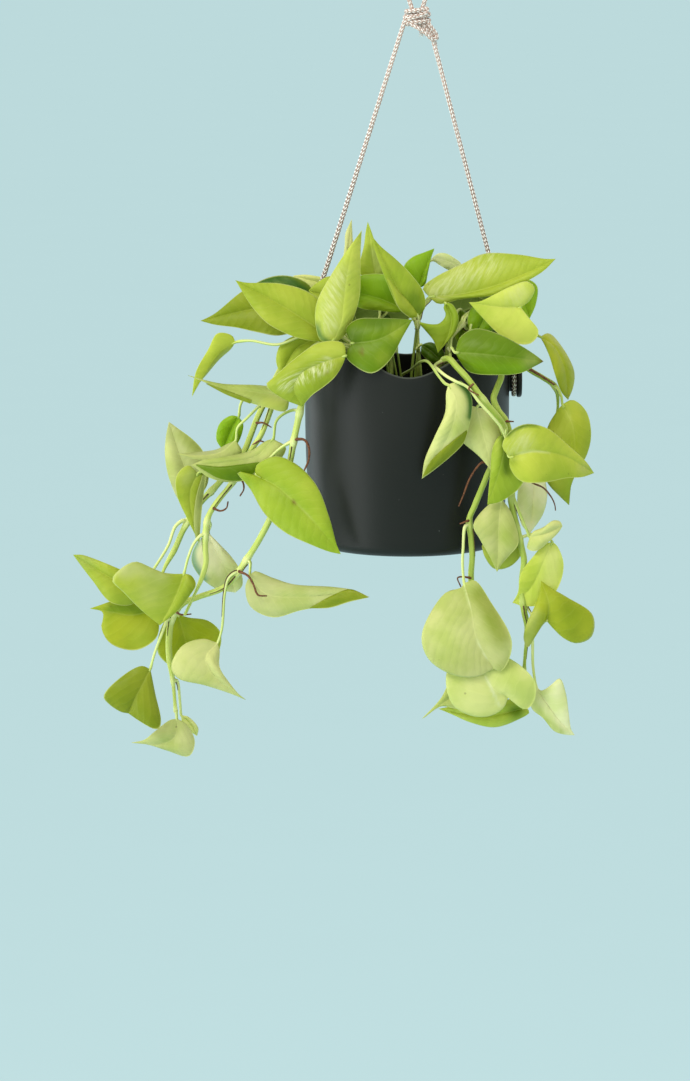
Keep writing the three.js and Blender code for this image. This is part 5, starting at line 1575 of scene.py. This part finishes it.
trial_leaf = heart("trial", "lime", [], (0, 0, 0), (0, 60, 0), 40, (0, 0))
print("a leaf by rule has", len(trial_leaf["left"]), "points in each margin")

# %% Back stems
crown_back_left = Vine(
    "crown_back_left", root=(-28, 30), radius=2.6,
    stem=[(-30, 160, -34), (-34, 190, -36)],
)
for values in (
    ("H1", "lime", [(-40, 200, -44)], (-52, 212, -52), (-96, 190, -76), 52, (10, -12)),
    ("H2", "fresh", [(-36, 200, -46)], (-36, 213, -60), (-20, 164, -110), 48, (4, -6)),
    ("H3", "lime", [(-40, 188, -52), (-50, 196, -68)], (-57, 196, -84), (-72, 134, -118), 56, (3, -8)),
    ("H4", "fresh", [(-28, 186, -30)], (-24, 206, -28), (-52, 226, -34), 40, (4, -10)),
    ("H13", "lime", [(-28, 196, -34)], (-18, 204, -34), (-4, 240, -42), 44, (-6, 6)),
    ("H15", "fresh", [(-38, 184, -38)], (-50, 186, -36), (-88, 200, -44), 44, (8, -8)),
    ("H18", "deep", [(-30, 186, -26)], (-28, 190, -16), (-18, 168, 4), 30, (4, -4)),
):
    crown_back_left.leaf(**heart(*values))
crown_back_left.build()

crown_back_right = Vine(
    "crown_back_right", root=(34, 34), radius=2.6,
    stem=[(34, 160, -36), (38, 190, -38)],
)
for values in (
    ("H5", "lime", [(44, 200, -44)], (54, 211, -50), (99, 193, -70), 52, (-12, 10)),
    ("H6", "lime", [(44, 198, -48)], (57, 211, -62), (46, 164, -110), 38, (-6, 4)),
    ("H7", "fresh", [(44, 190, -52), (52, 196, -68)], (60, 196, -82), (77, 132, -114), 56, (-8, 3)),
    ("H8", "fresh", [(38, 186, -32)], (40, 202, -26), (74, 214, -30), 40, (-10, 4)),
    ("H14", "lime", [(36, 204, -36)], (36, 213, -35), (43, 237, -40), 26, (6, -6)),
    ("H17", "deep", [(36, 184, -28)], (40, 190, -16), (62, 184, 4), 36, (-4, 4)),
    ("H20", "fresh", [(54, 194, -42)], (74, 200, -34), (112, 190, -44), 38, (8, -12)),
):
    crown_back_right.leaf(**heart(*values))
crown_back_right.build()

vine_back = Vine(
    "vine_back", root=(-14, 56), radius=2.6,
    stem=[(-14, 164, -66), (-12, 182, -82), (-10, 174, -98), (-12, 140, -104), (-20, 110, -104),
        (-18, 84, -103)],
)
for values in (
    ("H9", "lime", [(-6, 160, -108)], (10, 150, -114), (30, 96, -118), 58, (-6, -6)),
    ("H10", "fresh", [(-24, 132, -110)], (-42, 124, -116), (-64, 74, -118), 58, (-6, -6)),
    ("H11", "lime", [(-12, 104, -109)], (0, 92, -114), (10, 40, -114), 54, (-4, -4)),
    ("H12", "fresh", [(-20, 80, -108)], (-28, 70, -112), (-42, 28, -110), 46, (-4, -4)),
):
    vine_back.leaf(**heart(*values))
vine_back.build()

# %% [markdown]
# ## The pot's finish
# The pot is a dark satin charcoal with a fine powdery grain and a few specks of dust. An image could be
# wrapped round it, but layers of noise stay sharp from near and have no seam. The lip carries a painted
# highlight and the inside painted shade, as tints of their own, so one finish serves the whole pot.

# %% Pot material
def pot_material():
    material = new_material("pot_charcoal")
    own = node(material, "ShaderNodeTexCoord").outputs["Object"]
    cloud = noise(material, own, 14.0, 3.0)
    powder = noise(material, own, 900.0, 2.0)
    speck = smooth_range(material, noise(material, own, 420.0, 1.0), 0.80, 0.83)
    # The tint on the points brings the painted highlight of the lip and the painted shade of the inside.
    tint = node(material, "ShaderNodeAttribute", attribute_name="Tint").outputs["Color"]
    base = toned(material, mixed(material, cloud, colour(22, 24, 19), colour(28, 30, 25)), tint)
    dusty = mixed(material, times(material, speck, 0.3), base, colour(150, 150, 145))
    surface = node(material, "ShaderNodeBsdfPrincipled", {
        "Base Color": dusty, "Roughness": plus(material, 0.36, times(material, powder, 0.10)),
        "Normal": bumped(material, powder, 0.25, 0.0002), "Specular IOR Level": 0.22,
    })
    return finish_with(material, surface.outputs[0])


pot_charcoal = pot_material()
print("pot finish:", pot_charcoal.name)

# %% [markdown]
# ## The pot
# The pot is a thin wall with a rounded foot, a rim that dips at the front and the back, and soft folds
# under the rim, as if it had been pressed while it was soft. It could be modelled from a cylinder with a
# subdivision surface, but its folds follow a plain rule, so the wall is laid down ring by ring from that
# rule. The knobs at its sides are spools: the rope lies in the groove of each.

# %% The rule of the wall
RIM_RADIUS, FOOT_RADIUS, FULL_WIDTH_HEIGHT, RIM_HEIGHT = 90.0, 84.5, 120.0, 173.0
DIP_DEPTH, DIP_HALF_ANGLE, DIP_START = 14.5, math.radians(33), 100.0
FOLD_DEPTH, FOLD_START = 1.0, 60.0
POT_SIDES = 180


def wall_point(height, inset, angle):
    """A point of the pot, so high up, so far inside its outer face and at that angle round its axis."""
    off_front = np.minimum(np.abs(angle + math.pi / 2), np.abs(angle - math.pi / 2))
    dip = DIP_DEPTH * (1 + np.cos(math.pi * np.minimum(off_front / DIP_HALF_ANGLE, 1))) / 2
    squeeze = (RIM_HEIGHT - dip - DIP_START) / (RIM_HEIGHT - DIP_START)
    z = np.where(height <= DIP_START, height, DIP_START + (height - DIP_START) * squeeze)
    widening = np.sin(math.pi / 2 * np.minimum(1, z / FULL_WIDTH_HEIGHT))
    folds = np.sin(8 * angle + 0.6) + 0.6 * np.sin(5 * angle + 1.9)
    t = np.clip((z - FOLD_START) / (RIM_HEIGHT - FOLD_START), 0, 1)
    toward_rim = t * t * (3 - 2 * t)
    radius = FOOT_RADIUS + (RIM_RADIUS - FOOT_RADIUS) * widening
    radius = radius + FOLD_DEPTH * folds * toward_rim * np.sin(angle) ** 2 - inset
    return np.stack([radius * np.cos(angle), radius * np.sin(angle), z], axis=-1)


def wall_rings(rows):
    angle = -math.pi + 2 * math.pi * (np.arange(POT_SIDES) + 0.5) / POT_SIDES
    return np.stack([wall_point(height, inset, angle) for height, inset in rows])


print("the rim is", wall_point(RIM_HEIGHT, 0, 0.0)[2], "mm high at a knob and",
      wall_point(RIM_HEIGHT, 0, -math.pi / 2)[2], "mm at the front")

# %% Pot
WALL, FLOOR, FOOT_ROUNDING = 3.0, 4.0, 9.0
LIP_START = RIM_HEIGHT - WALL / 2
LOWEST_PLAIN_RING = 14
KNOB_HEIGHT, NECK_RADIUS, DISC_RADIUS, NECK_END, DISC_END = 146.0, 10.5, 15.5, 96.5, 101.0
KNOB_SIDES = 48
OUTSIDE_TINT = (1, 1, 1)
# A painted highlight along the lip, and painted shade on the inside of the pot.
LIP_HIGHLIGHT_TINT = (4.0, 4.2, 4.0)
INSIDE_SHADE_TINT = (0.35, 0.35, 0.35)


def add_rings(shape, rows, tints):
    """Rings of the wall, closed by a flat face at both ends."""
    points = wall_rings(rows)
    tint = np.repeat(np.asarray(tints, float), POT_SIDES, axis=0)
    index = shape.grid(points, tint, np.zeros((points.shape[0] * points.shape[1], 3)), 0, wrap=True)
    shape.cap(index[0], 0, turn=True)
    shape.cap(index[-1], 0)


def add_knob(shape, profile, side):
    """A profile of (radius, distance) turned round the knob's own axis."""
    angle = np.linspace(0, 2 * math.pi, KNOB_SIDES, endpoint=False) * side
    rows = []
    for radius, out in profile:
        across = np.full(KNOB_SIDES, side * out)
        rows.append(np.stack([across, radius * np.cos(angle), KNOB_HEIGHT + radius * np.sin(angle)], axis=-1))
    index = shape.grid(np.array(rows), OUTSIDE_TINT, np.zeros((len(rows) * KNOB_SIDES, 3)), 0, wrap=True)
    shape.cap(index[-1], 0)


def make_pot():
    shape = Shape()
    outside = []
    for turn in range(0, 91, 10):
        a = math.radians(turn)
        outside.append((FOOT_ROUNDING * (1 - math.cos(a)), FOOT_ROUNDING * (1 - math.sin(a))))
    outside += [(height, 0) for height in np.linspace(LOWEST_PLAIN_RING, LIP_START, 44)]
    lip = []
    for turn in range(15, 180, 15):
        a = math.radians(turn)
        lip.append((LIP_START + WALL / 2 * math.sin(a), WALL / 2 * (1 - math.cos(a))))
    inside = [(height, WALL) for height in np.linspace(LIP_START, LOWEST_PLAIN_RING, 24)]
    inside += [(FLOOR + FOOT_ROUNDING / 2, WALL), (FLOOR, WALL + FOOT_ROUNDING / 2)]
    tints = [OUTSIDE_TINT] * len(outside) + [LIP_HIGHLIGHT_TINT] * len(lip) + [INSIDE_SHADE_TINT] * len(inside)
    add_rings(shape, outside + lip + inside, tints)
    groove = NECK_RADIUS - 0.6
    knob = [
        (NECK_RADIUS, RIM_RADIUS - WALL * 0.6), (NECK_RADIUS, 92.2), (groove, 92.8), (groove, NECK_END - 1.2),
        (NECK_RADIUS, NECK_END - 0.3), (DISC_RADIUS - 0.8, NECK_END), (DISC_RADIUS, NECK_END + 0.8),
        (DISC_RADIUS, DISC_END - 1.6), (DISC_RADIUS - 0.5, DISC_END - 0.6), (DISC_RADIUS - 1.7, DISC_END),
        (6.0, DISC_END), (5.2, DISC_END - 0.5), (4.6, DISC_END - 0.6), (0.5, DISC_END - 0.6),
    ]
    for side in (-1, 1):
        add_knob(shape, knob, side)
    piece = shape.make("pot_wall_and_knobs", [pot_charcoal])
    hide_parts("pot")
    tell(piece)


make_pot()

# %% [markdown]
# ## Soil
# The pot is filled with dark bark compost that shows only from above. Thousands of loose crumbs would be
# slow, so the top of one closed body is pushed up and down by layers of waves, and its finish breaks it
# into finer crumbs.

# %% Soil
SOIL_GAP = 0.3
SOIL_TOP = 127.0
SOIL_CROWN = 3.0


def soil_material():
    material = new_material("soil_compost")
    own = node(material, "ShaderNodeTexCoord").outputs["Object"]
    crumbs = node(material, "ShaderNodeTexVoronoi", {"Vector": own, "Scale": 240.0}).outputs["Distance"]
    fine = noise(material, own, 700.0, 3.0)
    cloud = noise(material, own, 60.0, 2.0)
    base = mixed(material, crumbs, colour(70, 50, 36), colour(34, 24, 18))
    base = mixed(material, smooth_range(material, cloud, 0.55, 0.75), base, colour(92, 68, 48))
    height = plus(material, times(material, crumbs, -0.8), times(material, fine, 0.5))
    surface = node(material, "ShaderNodeBsdfPrincipled", {
        "Base Color": base, "Roughness": 0.95, "Normal": bumped(material, height, 1.0, 0.0016),
    })
    return finish_with(material, surface.outputs[0])


def crumbly(ring, waves):
    """Heights of many small waves, added up. Each wave has a pitch, a direction and a start of its own."""
    total = 0
    for pitch, direction, start in waves:
        onward = ring[:, 0] * math.cos(3 * direction) + ring[:, 1] * math.sin(3 * direction)
        total = total + np.sin(0.9 * (4 + 9 * abs(pitch)) * onward / 9 + 6 * start)
    return total / 9


def make_soil():
    rng = np.random.default_rng(3)
    shape = Shape()
    beside = WALL + SOIL_GAP
    rounding = FOOT_ROUNDING / 2
    rows = [(FLOOR + SOIL_GAP, beside + rounding), (FLOOR + rounding + SOIL_GAP, beside), (60, beside),
            (120, beside), (126, beside + 0.1)]
    side = wall_rings(rows)
    edge = side[-1]
    top = []
    waves = rng.uniform(-1, 1, (26, 3))
    for share in np.linspace(0.985, 0.02, 40):
        ring = edge * share
        ring[:, 2] = SOIL_TOP + SOIL_CROWN * (1 - share ** 3) + crumbly(ring, waves)
        top.append(ring)
    points = np.concatenate([side, np.array(top)])
    index = shape.grid(points, (1, 1, 1), np.zeros((points.shape[0] * points.shape[1], 3)), 0, wrap=True)
    shape.cap(index[0], 0, turn=True)
    shape.cap(index[-1], 0)
    piece = shape.make("soil_fill", [soil_material()])
    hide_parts("soil")
    tell(piece)


make_soil()

# %% [markdown]
# ## The rope's finish
# The yarn is dull and slightly hairy. Real hairs could be grown on it, but at this size a fine twisted bump
# and a little sheen look the same. The colour of each strand comes from its points.

# %% Rope material
def rope_material():
    material = new_material("rope_yarn")
    tint, parts, _, own = painted(material)
    twist = plus(material, times(material, parts[1], 16.0), times(material, parts[0], 1.6))
    yarn = maths(material, "SINE", twist)
    fibre = noise(material, own, 1500.0, 3.0)
    base = mixed(material, fibre, tint, toned(material, tint, (0.84, 0.82, 0.78)))
    height = plus(material, times(material, yarn, 0.4), fibre)
    surface = node(material, "ShaderNodeBsdfPrincipled", {
        "Base Color": base, "Roughness": 0.88, "Normal": bumped(material, height, 0.7, 0.0004),
    })
    surface.inputs["Sheen Weight"].default_value = 0.3
    return finish_with(material, surface.outputs[0])


rope_yarn = rope_material()
print("rope finish:", rope_yarn.name)

# %% [markdown]
# ## Rope
# The rope is a round braid of eight strands: four wind to the left and four to the right, and each passes
# over one and under the next. A tube with a bump would look flat at its edge, so the strands are really
# laid out. The strands that wind one way are darker, which gives the rope its flecks.

# %% Braided strands
ROPE_DIAMETER = 4.4
BRAID_PITCH = 14.5
YARN_LIGHT = colour(252, 249, 242)
YARN_WARM = colour(192, 164, 148)
YARN_DARK = colour(112, 90, 74)


def add_braid(shape, path):
    """Eight strands round a path, each over one and under the next, with a core that closes the middle."""
    radius = ROPE_DIAMETER / 2
    path = along(path, np.linspace(0, 1, int(length_of(path) / 0.8) + 1))
    reach = np.concatenate([[0], np.cumsum(np.linalg.norm(np.diff(path, axis=0), axis=1))])
    side, other = frames_along(path)
    strand = {1: radius * 0.29, -1: radius * 0.34}
    middle = radius * 0.54
    lower = np.clip((420 - path[:, 2]) / 220, 0, 1)[:, None]
    warm = np.array(YARN_WARM) * (1 - lower) + np.array(YARN_DARK) * lower
    for way in (1, -1):
        for k in range(4):
            angle = way * 2 * math.pi * reach / BRAID_PITCH + k * math.pi / 2
            out = middle + way * radius * 0.15 * np.cos(8 * math.pi * reach / BRAID_PITCH)
            line = path + side * (out * np.cos(angle))[:, None] + other * (out * np.sin(angle))[:, None]
            shape.tube(line, strand[way], 5, YARN_LIGHT if way == 1 else warm, 0)
    shape.tube(path[::3], radius * 0.5, 6, YARN_WARM, 0)


print("one strand winds once round in", BRAID_PITCH, "mm")

# %% [markdown]
# ## The legs and the loop
# A leg runs from the knot to each knob, passes under its neck and comes up again behind, and a loop stands
# above the knot. A hanging rope could be simulated, but the pot's weight pulls this one straight.

# %% The legs and the loop
KNOT_CENTRE = np.array([8.0, 0.0, 463.5])
LEG_TOPS = {-1: (-1.0, 2.6, 466.0), 1: (17.5, 2.6, 461.0)}
BEND = NECK_RADIUS + 0.3 + ROPE_DIAMETER / 2
BEND_ACROSS = 94.0


def leg_path(side):
    """From the knot down to one knob, under its neck and back up behind."""
    rim = np.array([side * 91.6, BEND, 180.0])
    top = np.array(LEG_TOPS[side])
    down = [top + (rim - top) * share for share in (0, 0.25, 0.5, 0.75, 1)]
    down.append((rim + np.array([side * BEND_ACROSS, BEND, KNOB_HEIGHT])) / 2)
    for turn in range(0, 90, 15):
        a = math.radians(turn)
        bend = [side * BEND_ACROSS, BEND * math.cos(a), KNOB_HEIGHT - BEND * math.sin(a)]
        down.append(np.array(bend))
    up = [point * (1, -1, 1) for point in down[::-1]]
    return through([*down, np.array([side * BEND_ACROSS, 0, KNOB_HEIGHT - BEND]), *up], steps=24)


def loop_path():
    """From the knot up, round the top and down to the knot again."""
    x, z = KNOT_CENTRE[0], KNOT_CENTRE[2]
    side = [(4, z + 6), (8, z + 18), (15, 499), (13.5, 512)]
    points = [(x - half, 0, height) for half, height in side] + [(x, 0, 522)]
    points += [(x + half, 0, height) for half, height in side[::-1]]
    return through(points, steps=24)


def make_run(name, solid, path):
    """One free run of the rope, braided along its path."""
    shape = Shape()
    add_braid(shape, path)
    piece = shape.make(name, [rope_yarn])
    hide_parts(solid)
    tell(piece)
    return piece, path


runs = [
    make_run("rope_leg_left", "rope_left", leg_path(-1)),
    make_run("rope_leg_right", "rope_right", leg_path(1)),
    make_run("hanging_loop", "rope_loop", loop_path()),
]

# %% [markdown]
# ## The knot
# The rope is tied in tight turns, with a small bight and two cut ends that stick out. It could be traced
# over its whole length, but most of a pulled-tight knot is hidden, so a short spiral stands for the turns.

# %% The knot
def add_frayed_end(shape, path):
    """A little brush of fibres where the rope was cut."""
    rng = np.random.default_rng(11)
    tip, ahead = path[-1], path[-1] - path[-3]
    ahead = ahead / np.linalg.norm(ahead)
    for _ in range(22):
        spread = rng.normal(0, 0.35, 3)
        start = tip + rng.normal(0, 0.7, 3) - ahead
        points = [start, start + ahead * 1.6 + spread, start + ahead * rng.uniform(2.4, 3.6) + 2.2 * spread]
        shape.tube(evenly(points, 0.6), 0.16, 4, YARN_LIGHT, 0)


def make_knot():
    """Three tight turns round the rope's legs, a crossing turn, a small bight and two cut ends."""
    shape = Shape()
    turns = np.linspace(0, 3 * 2 * math.pi, 120)
    across = 10.6 * np.cos(turns) * np.sin(np.linspace(0.9, 2.3, 120))
    wrap = np.stack([across, 6.6 * np.sin(turns), np.linspace(-7.6, 7.6, 120)], axis=1)
    add_braid(shape, KNOT_CENTRE + wrap)
    crossing = through([(-9, -3, -7), (-8, -7, -2), (0, -8.4, 1), (8, -7, 4), (9, -2, 8)])
    add_braid(shape, KNOT_CENTRE + crossing * (0.95, 0.8, 1))
    bight = through([(-5, -6, -6), (1, -8, -9), (8, -8, -14), (14, -6, -19), (17, -4, -17), (14, -4, -11),
                     (9, -4, -5)])
    add_braid(shape, KNOT_CENTRE + bight)
    long_end = [(2, -3, -2), (7, -4, -9), (12, -3, -16), (16, -2, -23)]
    short_end = [(-2, 2, -2), (3, 4, -9), (4, 4, -14)]
    for end in (long_end, short_end):
        path = KNOT_CENTRE + evenly(end, 0.8)
        add_braid(shape, path)
        add_frayed_end(shape, path)
    piece = shape.make("rope_knot_turns", [rope_yarn])
    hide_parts("rope_knot")
    tell(piece)
    return piece


knot = make_knot()

# %% [markdown]
# ## What each run of rope is
# A mesh doesn't say that it is soft. Here the length of each run of rope is printed.

# %% What each run of rope is
for piece, path in runs:
    print(piece.name, "is", round(length_of(path)), "mm of rope")

# %% [markdown]
# ## Floor and light
# The plant was photographed against plain pale blue paper in soft even light, with a little more of it
# from the upper left. The camera looks down a little, so one wide plain floor far below fills the whole
# picture. A curved backdrop would do the same for one view, but a floor serves from all sides, and the sky
# past its end is seen in the same tone. The bright even sky gives the soft light, and large lamps add its
# direction.

# %% Floor
FLOOR_RADIUS, FLOOR_DROP, FLOOR_SIDES = 120, 2.2, 96


def floor_material():
    material = new_material("floor_paper")
    own = node(material, "ShaderNodeTexCoord").outputs["Object"]
    base = mixed(material, noise(material, own, 3.0), colour(182, 211, 213), colour(183, 212, 214))
    surface = node(material, "ShaderNodeBsdfPrincipled", {"Base Color": base, "Roughness": 0.95})
    surface.inputs["Specular IOR Level"].default_value = 0.0
    return finish_with(material, surface.outputs[0])


def make_floor():
    mesh = bpy.data.meshes.new("floor")
    angles = [2 * math.pi * k / FLOOR_SIDES for k in range(FLOOR_SIDES)]
    rim = [(FLOOR_RADIUS * math.cos(a), FLOOR_RADIUS * math.sin(a), -FLOOR_DROP) for a in angles]
    mesh.from_pydata(rim, [], [list(range(FLOOR_SIDES))])
    mesh.materials.append(floor_material())
    sheet = bpy.data.objects.new("floor", mesh)
    bpy.context.scene.collection.objects.link(sheet)
    return sheet


floor = make_floor()
print(floor.name, "lies", FLOOR_DROP, "m below the loop")


# %% Light
def add_lamp(name, place, target, size, power, tone):
    data = bpy.data.lights.new(name, "AREA")
    data.shape = "RECTANGLE"
    data.size, data.size_y = size
    data.energy = power
    data.color = tone
    lamp = bpy.data.objects.new(name, data)
    lamp.location = place
    lamp.rotation_euler = (Vector(target) - Vector(place)).to_track_quat("-Z", "Y").to_euler()
    bpy.context.scene.collection.objects.link(lamp)


def add_sky(tone, strength, paper_tone):
    """Even light from all round. Past the end of the floor, the camera sees the tone of the paper."""
    sky = bpy.data.worlds.new("studio")
    sky.use_nodes = True
    nodes, links = sky.node_tree.nodes, sky.node_tree.links
    light = nodes["Background"]
    light.inputs["Color"].default_value = (*tone, 1)
    light.inputs["Strength"].default_value = strength
    paper = nodes.new("ShaderNodeBackground")
    paper.inputs["Color"].default_value = (*paper_tone, 1)
    choice = nodes.new("ShaderNodeMixShader")
    links.new(nodes.new("ShaderNodeLightPath").outputs["Is Camera Ray"], choice.inputs[0])
    links.new(light.outputs[0], choice.inputs[1])
    links.new(paper.outputs[0], choice.inputs[2])
    links.new(choice.outputs[0], nodes["World Output"].inputs["Surface"])
    bpy.context.scene.world = sky


add_sky((1.0, 1.0, 1.0), 1.07, colour(189, 219, 221))
bpy.context.scene.view_settings.view_transform = "Standard"
MIDDLE_OF_PLANT = (0.0, 0.0, -0.42)
DAYLIGHT = (0.97, 0.99, 1.0)
add_lamp("ceiling light", (-1.6, -2.2, 2.2), MIDDLE_OF_PLANT, (1.6, 1.6), 50, (1.0, 0.98, 0.94))
add_lamp("window", (-2.6, -1.5, -0.7), MIDDLE_OF_PLANT, (1.3, 2.8), 34, DAYLIGHT)
add_lamp("side window", (-2.9, 0.1, -0.7), MIDDLE_OF_PLANT, (1.3, 2.8), 16, DAYLIGHT)
add_lamp("back window", (-2.2, 1.9, -0.7), MIDDLE_OF_PLANT, (0.8, 2.8), 14, DAYLIGHT)
